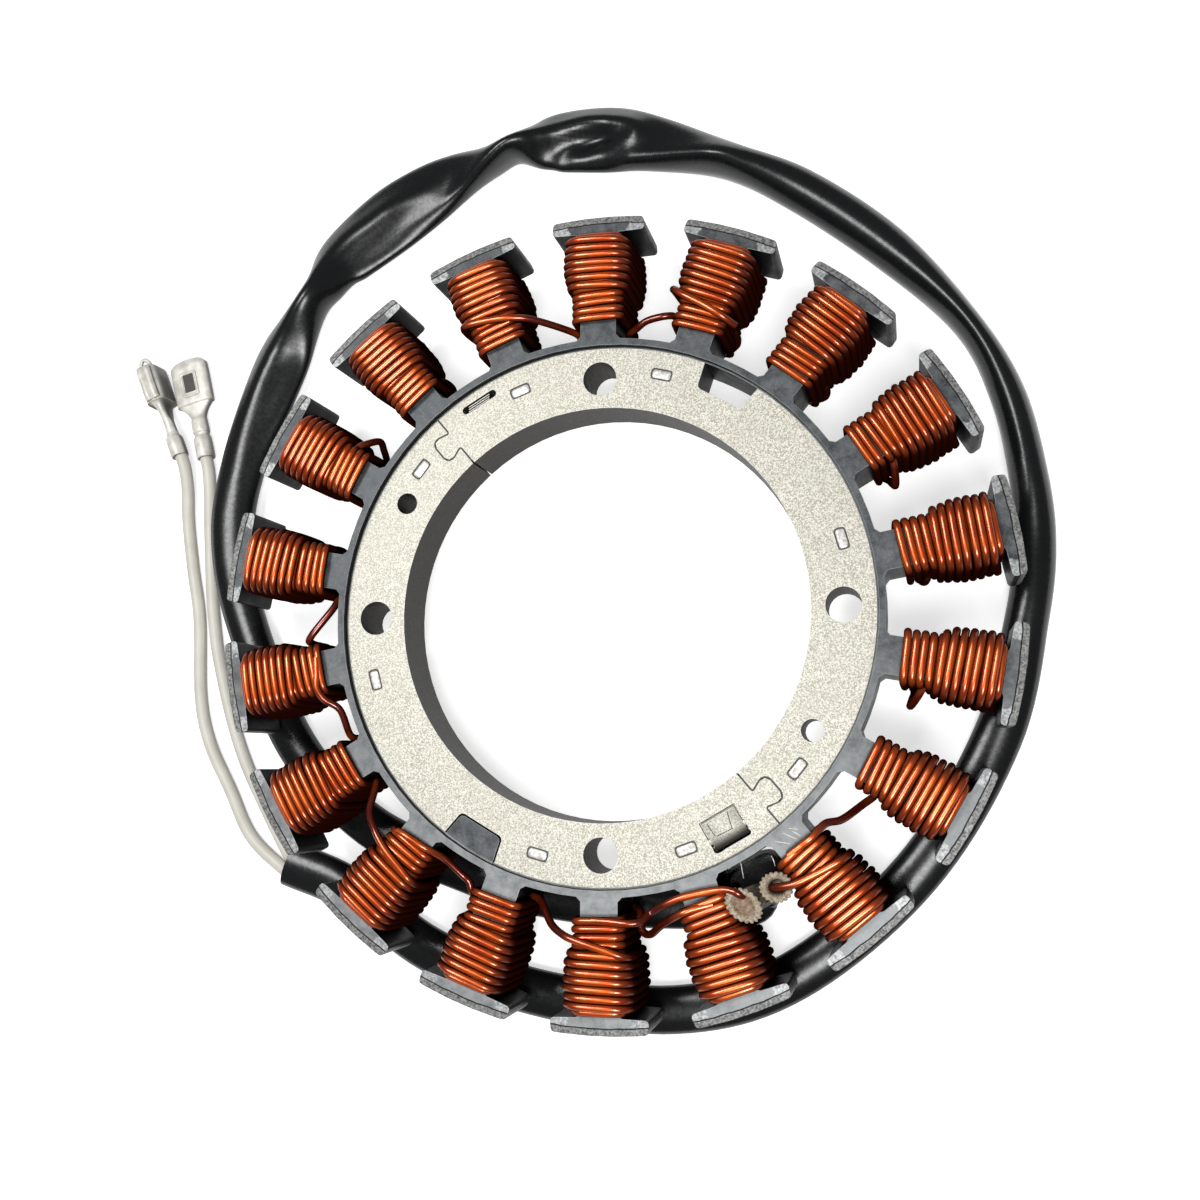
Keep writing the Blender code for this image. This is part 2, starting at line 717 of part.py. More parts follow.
def end_wires(parts, copper):
    """The winding's ends: one crosses the front of neck 9, the other climbs neck 8's flank."""
    top = SPLICE_TOP + GAP + LINK_RADIUS
    nine = pole_angle(9)
    goal = splice_place(-1, top)
    points = [
        spot(nine, LANE, -TOOTH_HALF, CROWN),
        spot(nine, LANE, TOOTH_HALF + COIL_CLEARANCE, CROWN),
        spot(nine, LANE, FLANK + GAP / 2, CROWN),
        goal - spot(nine, SPLICE_RADIUS, 0),
        goal,
    ]
    wire("end_wire_1", points, LINK_RADIUS, parts, copper)
    eight = pole_angle(8)
    goal = splice_place(1, top)
    points = [
        spot(eight, LANE, -NECK_FLANK, 0),
        spot(eight, LANE, -NECK_FLANK, CORE_HALF / 2),
        spot(eight, LANE, -NECK_FLANK - WIRE / 2, CORE_HALF),
        spot(eight, LANE + WIRE / 2, -NECK_FLANK - WIRE, CROWN),
        goal - spot(eight, SPLICE_RADIUS, 0),
        goal,
    ]
    wire("end_wire_2", points, LINK_RADIUS, parts, copper)


def splices(parts, braid):
    length = SPLICE_TOP - SPLICE_FOOT
    for name, side in (("splice_sleeve_1", -1), ("splice_sleeve_2", 1)):
        foot = splice_place(side, SPLICE_FOOT)
        rod(name, SPLICE_RADIUS, foot, length, "Z", parts, braid)


def in_metres(route):
    return [Vector(point) / 1000 for point in route]


def vinyl_sleeve(parts, vinyl):
    route = in_metres(SLEEVE_ROUTE)
    points = [*route[:3], *smooth(route[3:], SLEEVE_STEP)]
    flat = SLEEVE_THICKNESS / 2
    return wire("lead_sleeve", points, flat, parts, vinyl, width=SLEEVE_WIDTH)


def lead(name, route, terminal, parts, insulation):
    """A lead whose end lies inside its terminal's crimp."""
    rear, heading, _ = terminal
    along = Vector((math.cos(heading), math.sin(heading), 0))
    points = [*in_metres(route), rear - along * 0.003]
    points = smooth(points, LEAD_STEP)
    points += [rear + along * 0.0005, rear + along * (CRIMP_LENGTH - 0.001)]
    wire(name, points, LEAD_RADIUS, parts, insulation)


def section(x, width, low, high, radius, steps=2):
    """A rectangle across X with round corners."""
    half = width / 2 - radius
    middle = (low + high) / 2
    rise = (high - low) / 2 - radius
    points = []
    for corner, (side_y, side_z) in enumerate(((1, 1), (-1, 1), (-1, -1), (1, -1))):
        for step in range(steps + 1):
            turn = math.pi / 2 * (corner + step / steps)
            y = side_y * half + math.cos(turn) * radius
            z = middle + side_z * rise + math.sin(turn) * radius
            points.append(Vector((x, y, z)))
    return points


def terminal(name, place, parts, cutters, tin):
    """A receptacle with a flat back, rolled sides, a wire crimp and an insulation crimp."""
    neck = CRIMP_LENGTH
    shoulder = TERMINAL_LENGTH - BODY_LENGTH - SHOULDER_LENGTH
    body = TERMINAL_LENGTH - BODY_LENGTH
    back = WIRE_CRIMP_RADIUS
    front = back - TERMINAL_THICKNESS
    tight = WIRE_CRIMP_RADIUS * 0.999
    full = CRIMP_RADIUS * 0.999
    corner = TERMINAL_THICKNESS * 0.45
    loops = [
        section(0, 2 * CRIMP_RADIUS, -CRIMP_RADIUS, CRIMP_RADIUS, full),
        section(neck, 2 * CRIMP_RADIUS, -CRIMP_RADIUS, CRIMP_RADIUS, full),
        section(neck + 0.0006, 2 * back, -back, back, tight),
        section(shoulder, 2 * back, -back, back, tight),
        section(body, TERMINAL_WIDTH, front, back, corner),
        section(TERMINAL_LENGTH, TERMINAL_WIDTH, front, back, corner),
    ]
    piece = loft(name, loops, parts, tin)
    bore_start = Vector((-0.001, 0, 0))
    bore_length = CRIMP_LENGTH + 0.0005
    bore = rod(name + "_bore", LEAD_RADIUS + GAP, bore_start, bore_length, "X", cutters, tin)
    middle = (back + front) / 2
    inner_width = TERMINAL_WIDTH - 2 * TERMINAL_METAL
    inner_depth = TERMINAL_THICKNESS - 2 * TERMINAL_METAL
    centre_x = TERMINAL_LENGTH - BODY_LENGTH / 2 + 0.0005
    pocket = block(
        name + "_pocket",
        Vector((BODY_LENGTH, inner_width, inner_depth)),
        Vector((centre_x, 0, middle)),
        cutters,
        tin,
    )
    seam = block(
        name + "_seam",
        Vector((BODY_LENGTH + 0.001, TERMINAL_METAL, TERMINAL_THICKNESS)),
        Vector((centre_x + 0.0005, 0, front - inner_depth / 2)),
        cutters,
        tin,
    )
    window = block(
        name + "_window",
        Vector((*WINDOW, TERMINAL_THICKNESS)),
        Vector((TERMINAL_LENGTH - BODY_LENGTH / 2, 0, back)),
        cutters,
        tin,
    )
    rear, heading, turn = place
    pose = Matrix.Translation(rear) @ Matrix.Rotation(heading, 4, "Z") @ Matrix.Rotation(turn, 4, "X")
    piece.matrix_world = pose
    for tool in (bore, pocket, seam, window):
        tool.matrix_world = pose
        combine(piece, tool, "DIFFERENCE")


def main():
    clear_scene()
    parts = new_collection("wound_stator")
    cutters = new_collection("cutters", hidden=True)
    steel = new_material("ring_steel", (0.62, 0.58, 0.50), 0.55, 0.6)
    coating = new_material("core_coating", (0.20, 0.21, 0.21), 0.5, 0.1)
    copper = new_material("copper_enamel", (0.55, 0.12, 0.02), 0.25, 0.4)
    vinyl = new_material("black_vinyl", (0.012, 0.013, 0.014), 0.35, 0.0)
    insulation = new_material("lead_insulation", (0.75, 0.73, 0.64), 0.45, 0.0)
    braid = new_material("glass_braid", (0.55, 0.47, 0.36), 0.9, 0.0)
    tin = new_material("terminal_tin", (0.75, 0.70, 0.52), 0.3, 0.8)
    halves = {}
    for side, start in HALF_STARTS.items():
        halves[side] = ring_half(side, start, parts, cutters, steel)
    cut_flap(halves["b"], HALF_STARTS["b"] + SLOT_ANGLE, cutters, steel)
    toothed_core(parts, cutters, coating)
    coils(parts, copper)
    for coil, neck, leave in FRONT_LINKS:
        front_link(coil, neck, leave, parts, copper)
    for first, second in REAR_LINKS:
        rear_link(first, second, parts, copper)
    end_wires(parts, copper)
    splices(parts, braid)
    vinyl_sleeve(parts, vinyl)
    lead("lead_outer", OUTER_LEAD_ROUTE, TERMINAL_B, parts, insulation)
    lead("lead_inner", INNER_LEAD_ROUTE, TERMINAL_A, parts, insulation)
    terminal("terminal_a", TERMINAL_A, parts, cutters, tin)
    terminal("terminal_b", TERMINAL_B, parts, cutters, tin)


main()
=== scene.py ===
"""Looks of the wound stator, in metres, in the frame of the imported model.

The origin is on the stator's axis, half way through its stack, and +Z points at the camera's
side. Places near a pole are given as u, v and z: u outward along the radius, v
counter-clockwise across it, and z along the axis. Poles count clockwise from +Y.
"""

import random
from math import copysign, cos, exp, pi, radians, sin, tau

import bmesh
import bpy
from mathutils import Matrix, Vector, noise


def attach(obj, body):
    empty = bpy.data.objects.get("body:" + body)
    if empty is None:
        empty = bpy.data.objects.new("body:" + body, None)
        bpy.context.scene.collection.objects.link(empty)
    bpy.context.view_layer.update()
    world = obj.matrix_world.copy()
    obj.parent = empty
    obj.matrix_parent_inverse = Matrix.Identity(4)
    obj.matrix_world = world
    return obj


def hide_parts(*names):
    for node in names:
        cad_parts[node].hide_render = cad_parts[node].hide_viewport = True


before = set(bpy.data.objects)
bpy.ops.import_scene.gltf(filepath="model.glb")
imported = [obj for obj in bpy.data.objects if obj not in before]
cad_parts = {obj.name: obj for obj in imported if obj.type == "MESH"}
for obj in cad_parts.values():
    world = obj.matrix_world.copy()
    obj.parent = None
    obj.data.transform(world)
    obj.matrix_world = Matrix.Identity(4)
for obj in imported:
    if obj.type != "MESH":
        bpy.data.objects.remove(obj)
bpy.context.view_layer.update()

UP = Vector((0, 0, 1))

# Camera: its place and axes, and its lens in millimetres
CAMERA_PLACE = Vector((0.05281, -0.02694, 0.22567))
CAMERA_RIGHT = Vector((0.97246, -0.00132, -0.23305))
CAMERA_UP = Vector((0.03081, 0.99193, 0.12298))
CAMERA_BACK = Vector((0.23100, -0.12677, 0.96466))
CAMERA_LENS = 39.237

# Ring and toothed core
POLES = 18
PITCH = tau / POLES
CORE_HALF = 0.00635
HEAD_RADIUS = 0.0715
HEAD_BASE = 0.0685
HEAD_SHADE = 0.0056
BARE_STRIP = 0.0011
TOOTH_HALF = 0.00325
RING_HALF = 0.0051
RING_RADIUS = 0.0474
HALF_STARTS = {"a": radians(-50), "b": radians(130)}
SEAM_WIDTH = 0.0003
SEAM_DEPTH = 0.0001

# Interlock marks, and their two profiles: inset from the outline, and height against the top
MARK_ANGLES = tuple(radians(angle) for angle in (11, 65, 125, 160))
MARK_CIRCLE = 0.0433
MARK_LENGTH = 0.0039
MARK_WIDTH = 0.0021
MARK_CORNER = 0.0008
LEAST_CORNER = 0.0002
MARK_TOP = RING_HALF + 0.00002
MARK_LINE = ((0.0, -0.00012), (0.0, 0.0), (0.00026, 0.0), (0.00026, -0.00018))
MARK_FACE = ((0.00026, -0.00030), (0.00026, -0.00012), (0.00042, -0.00002), (0.0007, 0.0))

# Edges of the laminations in half A's slot
SLOT_ANGLE = radians(170)
SLOT_RADIUS = 0.0452
STRIP_OFFSETS = (-0.00038, 0.0, 0.00038)
STRIP_ENDS = (-0.0019, 0.0026)
STRIP_SHIFT = 0.0002
STRIP_WIDTH = 0.00018
STRIP_HEIGHTS = (0.0030, 0.0048)

# Coils
WIRE = 0.00134
TURNS = 12
OUTER_TURNS = 7
COIL_START = 0.0516
COIL_END = 0.0682
COIL_CLEARANCE = 0.00025
COIL_CORNER = 0.0015
COIL_BOW = 0.00010
LAYER_RISE = 0.00118
HIDDEN_START = 8
CORNER_STEPS = 5
SIDE_STEPS = 4

# How loosely they are wound: slant of a coil, lean and play of a turn, bulge of the outer layer,
# and how far and over how many turns its end sinks
COIL_SLANT = 0.00015
TURN_LEAN = 0.00012
SIDE_PLAY = 0.00010
FRONT_PLAY = 0.00008
OUTER_PLAY = 0.00022
OUTER_BULGE = 0.00030
END_SINK = 0.40
END_TURNS = 0.9

# Wires between the coils
LINK_GAP = 0.0003
CROWN = CORE_HALF + LINK_GAP + WIRE / 2

# Braided sleeves over the joints: foot, rim, how much longer one way, and that way's heading
SPLICES = {
    "splice_sleeve_1": ((0.0256, -0.0487, -0.0042), (0.0247, -0.0494, 0.0076), 1.35, -35),
    "splice_sleeve_2": ((0.0295, -0.0465, -0.0042), (0.0301, -0.0464, 0.0076), 1.12, 0),
}
SPLICE_ANGLE = radians(300)
SPLICE_SIDES = 192
SPLICE_ROWS = 30
SPLICE_LOBES = 20
SPLICE_LOBE = 0.00028
SPLICE_RADIUS = 0.0016
SPLICE_FLARE = 0.0005
FLARE_FROM = 0.75

# The rim's frayed end, then the fill inside it: height over the rim and radius, and lobes
SPLICE_END = (
    (0.00025, 0.00228, 0.00028),
    (0.00050, 0.00212, 0.00028),
    (0.00060, 0.00185, 0.00022),
    (0.00045, 0.00155, 0.00014),
    (0.0, 0.00132, 0.00010),
    (-0.0012, 0.00115, 0.00010),
    (-0.0040, 0.00090, 0.00010),
)
SPLICE_FILL = ((-0.0006, 0.00150), (0.00005, 0.00150), (0.00030, 0.0010), (0.00025, 0.0003))

# Vinyl sleeve: its section is squarer near the mouth, and its relief starts above the table
TABLE = -0.0140
SLEEVE_SIDES = 48
SLEEVE_WALL = 0.0007
WALL_DEPTHS = (12, 6, 1)
MOUTH_FROM = TABLE + 0.0055
MOUTH_POWER = 0.55
CREST_SHEAR = 0.55
CREST_POWER = 0.7
RELIEF_FROM = 0.0010
RELIEF_RISE = 0.0030
RELIEF_BEYOND = 0.010

# Leads
LEAD_RADIUS = 0.0013
LEAD_SPACING = 0.0015

# Route of the vinyl sleeve, in millimetres: x, y, z, width and thickness where it rises between
# coils 8 and 9, then on the table x, y, width, thickness and its crest's lean, from -1 to 1
SLEEVE_RISE = (
    (25.7, -46.5, -3.2, 11.6, 8.8),
    (25.7, -46.5, -6.4, 11.2, 8.2),
    (25.3, -47.2, -9.2, 9.6, 6.4),
    (24.4, -48.9, -11.4, 8.8, 4.4),
)
SLEEVE_ROUTE = (
    (21.9, -51.0, 8.5, 4.2, 0.0), (5.0, -51.6, 8.5, 4.2, 0.0),
    (-13.5, -50.4, 8.5, 4.2, 0.0), (-29.9, -46.1, 8.4, 4.3, 0.0),
    (-49.6, -37.9, 8.4, 4.4, 0.0), (-65.1, -22.5, 8.2, 5.6, 0.0),
    (-76.8, 2.4, 8.4, 6.0, 0.1), (-80.4, 20.0, 9.2, 5.8, 0.3),
    (-78.5, 34.6, 9.8, 5.2, 0.4), (-73.6, 48.4, 11.6, 4.6, 0.4),
    (-69.6, 57.6, 11.2, 4.6, 0.4), (-63.9, 66.0, 6.2, 7.2, 0.4),
    (-61.0, 70.4, 7.8, 6.4, 0.5), (-57.5, 76.0, 12.2, 4.6, 0.4),
    (-47.9, 83.2, 14.4, 4.2, 0.2), (-39.5, 88.1, 13.2, 4.2, 0.0),
    (-32.8, 91.0, 10.2, 5.0, 0.0), (-25.8, 92.9, 5.8, 7.2, 0.3),
    (-21.0, 94.5, 4.4, 7.8, 0.4), (-16.1, 95.2, 9.0, 6.4, 0.2),
    (-11.1, 95.8, 12.2, 5.2, 0.0), (-1.1, 95.1, 13.2, 5.0, -0.1),
    (8.5, 92.5, 10.7, 6.4, -0.3), (22.3, 87.0, 6.6, 9.0, -0.2),
    (35.3, 79.9, 8.0, 8.6, 0.0), (50.8, 67.2, 7.8, 8.8, 0.0),
    (63.8, 52.0, 5.0, 9.6, 0.0), (70.4, 38.6, 6.0, 9.4, 0.0),
    (73.4, 24.0, 6.6, 8.8, 0.0), (74.0, 12.0, 7.4, 7.2, 0.0),
    (72.4, -0.9, 7.4, 6.8, 0.0), (66.6, -22.0, 8.4, 5.0, 0.0),
    (52.3, -45.2, 8.5, 4.4, 0.0), (30.8, -63.4, 8.5, 4.4, 0.0),
    (9.7, -69.9, 8.5, 4.4, 0.0), (-16.3, -67.8, 8.5, 4.4, 0.0),
    (-36.8, -60.9, 8.5, 4.4, 0.0), (-53.3, -50.2, 8.6, 4.6, 0.0),
    (-65.9, -45.3, 8.8, 5.0, 0.0),
)

# Ridges along the sleeve's top: height and half width, then their x and y, in millimetres
SLEEVE_RIDGES = (
    (
        (1.3, 2.8),
        (-80.2, 22.0), (-78.8, 32.3), (-77.0, 43.5), (-72.9, 54.2),
        (-67.1, 62.9), (-62.4, 68.8), (-60.8, 72.8), (-58.5, 76.0),
        (-55.1, 79.6), (-51.3, 82.0), (-47.0, 84.9), (-42.8, 86.7),
        (-37.5, 88.0), (-34.8, 87.6),
    ),
    (
        (1.4, 2.2),
        (-48.6, 79.0), (-41.9, 81.6), (-35.2, 84.4), (-31.4, 86.6),
        (-26.9, 90.2), (-19.6, 94.9), (-14.7, 96.2), (-12.0, 96.9),
        (-6.2, 98.1), (-0.8, 97.6), (2.4, 96.8), (3.9, 95.4),
        (3.2, 94.1), (1.0, 93.3), (-1.6, 92.6), (-6.2, 90.9),
    ),
    (
        (1.2, 2.4),
        (-2.8, 89.1), (1.2, 89.1), (4.3, 88.9), (11.3, 87.9),
        (20.4, 86.6), (25.7, 85.4),
    ),
)

# Dents in the sleeve's top, in millimetres: x, y, half length and half width, depth, and heading
SLEEVE_DENTS = (
    (-5.6, 94.6, 4.6, 2.2, 1.5, 8.0),
    (-13.0, 92.6, 3.4, 3.0, 1.0, 10.0),
)

# Routes of the leads, in millimetres
OUTER_LEAD_ROUTE = (
    (-64.9, -47.6, -12.0), (-67.9, -46.4, -12.7), (-75.0, -40.3, -12.7), (-79.7, -31.5, -12.7),
    (-84.7, -22.0, -12.7), (-87.1, -12.6, -12.7), (-88.0, 2.8, -12.7), (-89.9, 13.4, -12.7),
    (-91.2, 23.0, -12.4), (-91.0, 30.0, -11.2), (-91.4, 34.7, -10.2), (-92.6, 37.4, -10.15),
    (-94.4, 41.5, -10.15),
)
INNER_LEAD_ROUTE = (
    (-65.4, -44.4, -12.0), (-67.1, -43.2, -12.7), (-71.7, -35.2, -12.7), (-76.6, -26.0, -12.7),
    (-80.2, -16.5, -12.7), (-83.4, -4.8, -12.7), (-84.7, 2.8, -12.7), (-85.5, 9.6, -12.7),
    (-86.3, 21.3, -12.6), (-86.4, 28.4, -12.2), (-86.8, 33.8, -11.9), (-87.6, 36.7, -11.85),
    (-88.7, 41.1, -11.85),
)

# One half of a jigsaw seam, from the rim to its tongue's middle: u and v, in millimetres
SEAM_HALF = (
    (47.35, 0.10), (45.80, 0.10), (44.50, 0.10), (44.12, 0.22),
    (44.04, 0.50), (44.30, 1.25), (44.60, 2.10), (44.69, 2.60),
    (44.50, 3.20), (44.05, 3.60), (43.45, 3.76), (42.25, 3.78),
)
SEAM_MIDDLE = 42.25
LINE_WIDTH = 0.00024
LINE_DEPTH = 0.0002

# The flap turned down into half B's slot: u and z along its top, in millimetres
FLAP_TOP = (
    (40.45, 5.02), (40.60, 5.14), (42.60, 5.13), (43.50, 5.10),
    (44.20, 4.86), (44.80, 4.40), (45.30, 3.70), (45.60, 2.80),
    (45.75, 1.60),
)
FLAP_HALF = 0.0032
FLAP_SHEET = 0.0004
FLAP_ROUND = 0.0001
FLAP_CREASES = (
    ((40.7, 1.7), (43.6, 1.0)),
    ((40.7, -2.3), (43.2, -2.1)),
    ((43.3, -1.8), (43.5, 1.0)),
)
CREASE_WIDTH = 0.00014
CREASE_HEIGHTS = (0.0050, 0.00517)

# Scratches on one neck: u and v of their ends, in millimetres
SCRATCHED_POLE = 8
SCRATCHES = (
    ((49.2, -2.2), (51.0, -0.6)),
    ((48.9, -0.4), (51.1, 0.7)),
    ((49.6, 1.0), (51.2, 1.6)),
    ((49.0, 0.9), (50.0, 1.9)),
)
SCRATCH_WIDTH = 0.00007
SCRATCH_HEIGHTS = (0.0062, CORE_HALF + 0.00001)

# Stray fibres in the sleeve's mouth, in millimetres
FIBRES = (
    ((23.5, -42.3, 4.6), (24.0, -43.0, 4.9), (24.2, -44.2, 4.8), (24.3, -45.3, 4.2)),
    ((29.0, -41.6, 4.4), (29.4, -42.3, 4.8), (29.6, -43.2, 4.4)),
)
FIBRE_RADIUS = 0.00009

# Both ends of each terminal's middle line, in millimetres: x and y
TERMINAL_AXES = {
    "terminal_a": ((-87.5, 36.4), (-92.9, 57.6)),
    "terminal_b": ((-92.4, 36.6), (-100.6, 57.0)),
}

# Stations along each terminal from its wire end, in millimetres: distance, half width, lowest
# and highest z above the table, and the section's power, from 1 for round down to 0 for square
TERMINAL_STATIONS = {
    "terminal_a": (
        (0.0, 1.55, 0.3, 3.7, 0.9), (0.3, 1.80, 0.1, 3.9, 0.9),
        (4.2, 1.75, 0.1, 3.8, 0.9), (4.6, 1.50, 0.4, 3.3, 0.9),
        (5.4, 1.55, 0.5, 3.2, 0.8), (5.8, 1.72, 0.4, 3.4, 0.8),
        (8.2, 1.65, 0.4, 3.3, 0.8), (9.0, 1.60, 0.5, 2.9, 0.7),
        (10.4, 2.30, 0.6, 2.8, 0.6), (12.0, 3.75, 0.5, 2.9, 0.5),
        (12.5, 4.00, 0.4, 3.0, 0.5), (19.6, 4.05, 0.4, 3.0, 0.5),
        (20.8, 3.80, 0.5, 2.9, 0.5), (21.6, 2.90, 0.6, 2.6, 0.5),
        (21.9, 1.80, 0.8, 2.3, 0.5),
    ),
    "terminal_b": (
        (0.0, 1.40, 2.2, 5.5, 0.9), (0.3, 1.70, 2.0, 5.7, 0.9),
        (4.0, 1.65, 2.0, 5.7, 0.9), (4.5, 1.10, 2.5, 5.1, 0.9),
        (5.2, 1.15, 2.6, 5.0, 0.9), (7.6, 1.05, 2.6, 5.1, 0.9),
        (9.0, 0.80, 2.0, 5.4, 0.6), (11.4, 1.00, 1.2, 6.4, 0.6),
        (12.2, 1.90, 0.6, 7.2, 0.5), (12.6, 2.15, 0.5, 7.3, 0.5),
        (19.4, 2.15, 0.5, 7.3, 0.5), (19.8, 1.90, 0.7, 7.1, 0.5),
    ),
}

# Rim and hollow of terminal A's window, in millimetres: half length and width, and height
WINDOW_TOP = TABLE + 0.0030
WINDOW_RIM = (
    (2.70, 1.85, -0.30), (2.70, 1.85, 0.12), (2.55, 1.70, 0.20),
    (2.35, 1.50, 0.20), (2.20, 1.35, 0.08), (2.20, 1.35, -0.30),
)
WINDOW_HOLLOW = ((1.90, 1.15, -0.30), (1.90, 1.15, 0.13), (1.80, 1.05, 0.14))

# Edges rolled in on terminal B and the arch at its mouth, in millimetres: distance from the wire
# end, place across and height above the table
ROLL_RADIUS = 0.00085
ROLL_ASIDE = 0.75
ROLL = ((12.6, 7.0), (14.0, 7.35), (18.4, 7.35), (19.6, 7.1))
ARCH_RADIUS = 0.00042
ARCH = ((19.2, -1.1, 5.6), (20.8, -1.1, 6.0), (21.7, -0.3, 6.2), (21.2, 0.7, 6.0), (19.4, 1.2, 5.4))

# Wires between the coils: pole, u, v and z of each point, in millimetres
WIRES = {
    "link_01_02": (
        (2, 54.6, 5.4, -3.0), (2, 54.6, 5.6, 2.0), (2, 53.9, 7.0, 3.6), (2, 52.3, 10.1, 3.2),
        (1, 51.6, -6.3, 2.4), (1, 50.8, -4.4, 0.6), (1, 50.7, -4.0, -5.0),
    ),
    "link_18_01": (
        (18, 58.0, 5.4, -3.0), (18, 58.1, 5.9, 3.0), (18, 57.9, 5.6, 7.0), (18, 57.5, 4.2, 8.5),
        (18, 56.5, -0.2, 8.7), (18, 55.2, -4.2, 8.4), (18, 53.8, -7.3, 7.0), (1, 51.7, 5.6, 2.8),
        (1, 50.8, 4.3, 0.8), (1, 50.7, 4.0, -5.0),
    ),
    "link_14_15": (
        (14, 55.2, -5.4, -3.0), (14, 55.3, -5.6, 3.0), (14, 54.4, -6.4, 5.2), (15, 50.3, 6.9, 4.6),
        (15, 50.2, 4.9, 3.0), (15, 50.3, 4.1, 0.0), (15, 50.3, 4.0, -5.0),
    ),
    "link_13_14": (
        (14, 52.8, -2.0, 7.5), (14, 53.0, 1.0, 7.8), (14, 53.3, 3.6, 7.9), (14, 52.4, 5.8, 7.3),
        (14, 50.3, 8.0, 6.0), (13, 51.5, -5.4, 3.2), (13, 50.9, -4.4, 0.8), (13, 50.8, -4.0, -5.0),
    ),
    "link_12_13": (
        (12, 57.4, 5.5, -2.0), (12, 57.3, 5.6, 5.0), (12, 57.0, 4.4, 8.2), (12, 56.5, 1.5, 8.6),
        (12, 55.9, -2.5, 8.6), (12, 54.8, -6.2, 8.2), (12, 53.4, -9.6, 6.8), (13, 51.4, 5.8, 4.6),
        (13, 51.0, 4.2, 2.0), (13, 50.9, 4.0, -5.0),
    ),
    "link_11_12": (
        (12, 52.2, -3.2, 7.5), (12, 51.7, -1.1, 7.9), (12, 51.2, 2.6, 7.4), (12, 50.9, 5.6, 5.2),
        (11, 51.6, -8.4, 3.4), (11, 52.4, -6.7, 3.0), (11, 54.2, -5.7, 2.0), (11, 54.9, -5.5, -3.0),
    ),
    "link_10_11": (
        (11, 50.7, 4.0, -5.0), (11, 50.7, 4.4, 0.5), (11, 50.8, 6.6, 2.6), (10, 53.4, -8.6, 5.4),
        (10, 54.9, -5.9, 7.8), (10, 55.8, -3.4, 8.5), (10, 57.0, 0.8, 8.7), (10, 58.1, 4.4, 8.4),
        (10, 58.4, 5.7, 6.0), (10, 58.4, 5.5, 0.0),
    ),
    "link_09_10": (
        (9, 53.1, 1.5, 7.3), (9, 52.8, -2.0, 7.7), (9, 52.9, -4.6, 7.5), (9, 53.6, -8.2, 5.2),
        (9, 54.5, -10.9, 3.3), (9, 53.9, -12.2, 2.6), (9, 52.2, -12.3, 2.2), (10, 51.6, 6.0, 0.6),
        (10, 50.9, 4.5, -2.0), (10, 50.8, 4.0, -5.0),
    ),
    "link_07_08": (
        (8, 52.3, -2.0, 7.35), (8, 52.4, 0.6, 7.6), (8, 52.5, 3.0, 7.8), (8, 52.2, 6.0, 6.6),
        (8, 53.4, 8.4, 4.8), (7, 54.8, -6.5, 1.8), (7, 55.5, -5.0, 0.2), (7, 55.6, -4.6, -3.0),
    ),
    "end_wire_1": (
        (10, 52.5, -1.0, 7.35), (10, 52.6, 2.4, 7.8), (10, 52.8, 5.6, 8.0), (10, 52.4, 7.6, 7.4),
        (9, 51.1, -9.2, 6.2), (9, 50.6, -6.3, 7.0), (9, 50.4, -3.2, 7.3), (9, 50.8, 0.6, 7.3),
        (9, 51.5, 4.1, 7.5), (9, 52.8, 6.2, 7.9), (9, 54.2, 6.9, 6.8),
    ),
    "end_wire_2": (
        (8, 54.4, -7.6, 6.4), (8, 55.0, -6.6, 7.8), (8, 56.2, -4.4, 8.5), (8, 57.0, -1.6, 8.6),
        (8, 57.7, 1.6, 8.6), (8, 58.2, 4.4, 8.3), (8, 58.3, 5.7, 6.0), (8, 58.3, 5.5, 0.0),
    ),
}

# Wires behind the yoke: both poles, and the radius where the wire lies. Their starts are given
# as u, v and z, and some show a tip at the front.
REAR_LINKS = (
    (2, 3, 49.8),
    (3, 4, 47.5),
    (4, 5, 47.5),
    (5, 6, 47.5),
    (6, 7, 47.5),
    (15, 16, 50.5),
    (16, 17, 50.5),
    (17, 18, 50.5),
)
LINKS_WITH_TIP = (4, 6, 16)
REAR_START = ((56.0, -4.0, 0.0), (55.6, -4.9, -3.0), (55.0, -4.8, -6.0))
TIP_START = (
    (56.0, -4.2, 5.6), (55.4, -5.8, 4.4), (54.4, -7.6, 1.8), (54.4, -6.6, -1.4), (54.6, -5.0, -5.6),
)

# The wire that crosses coil 2's front on its way to the rear
COIL_2_STRAND = (
    (2, 58.0, 5.5, -2.0), (2, 58.2, 6.4, 4.0), (2, 57.8, 6.2, 7.4), (2, 57.0, 4.0, 8.6),
    (2, 56.2, 0.0, 8.7), (2, 55.2, -3.8, 8.5), (2, 54.6, -6.4, 6.8),
)


# Places and curves


def pole_angle(pole):
    return pi / 2 - PITCH * (pole - 1)


def spot(angle, u, v, z=0.0):
    """The point at u, v and z from the ray at this angle."""
    x = u * cos(angle) - v * sin(angle)
    y = u * sin(angle) + v * cos(angle)
    return Vector((x, y, z))


def curve(points, steps):
    """A smooth curve through the points, in equal steps of its parameter."""
    ends = [points[0] * 2 - points[1], *points, points[-1] * 2 - points[-2]]
    path = []
    for p0, p1, p2, p3 in zip(ends, ends[1:], ends[2:], ends[3:]):
        for index in range(steps):
            t = index / steps
            bend = p0 - p1 * 2.5 + p2 * 2 - p3 * 0.5
            twist = (p3 - p0) * 0.5 + (p1 - p2) * 1.5
            path.append(p1 + (p2 - p0) * 0.5 * t + bend * t**2 + twist * t**3)
    path.append(points[-1])
    return path


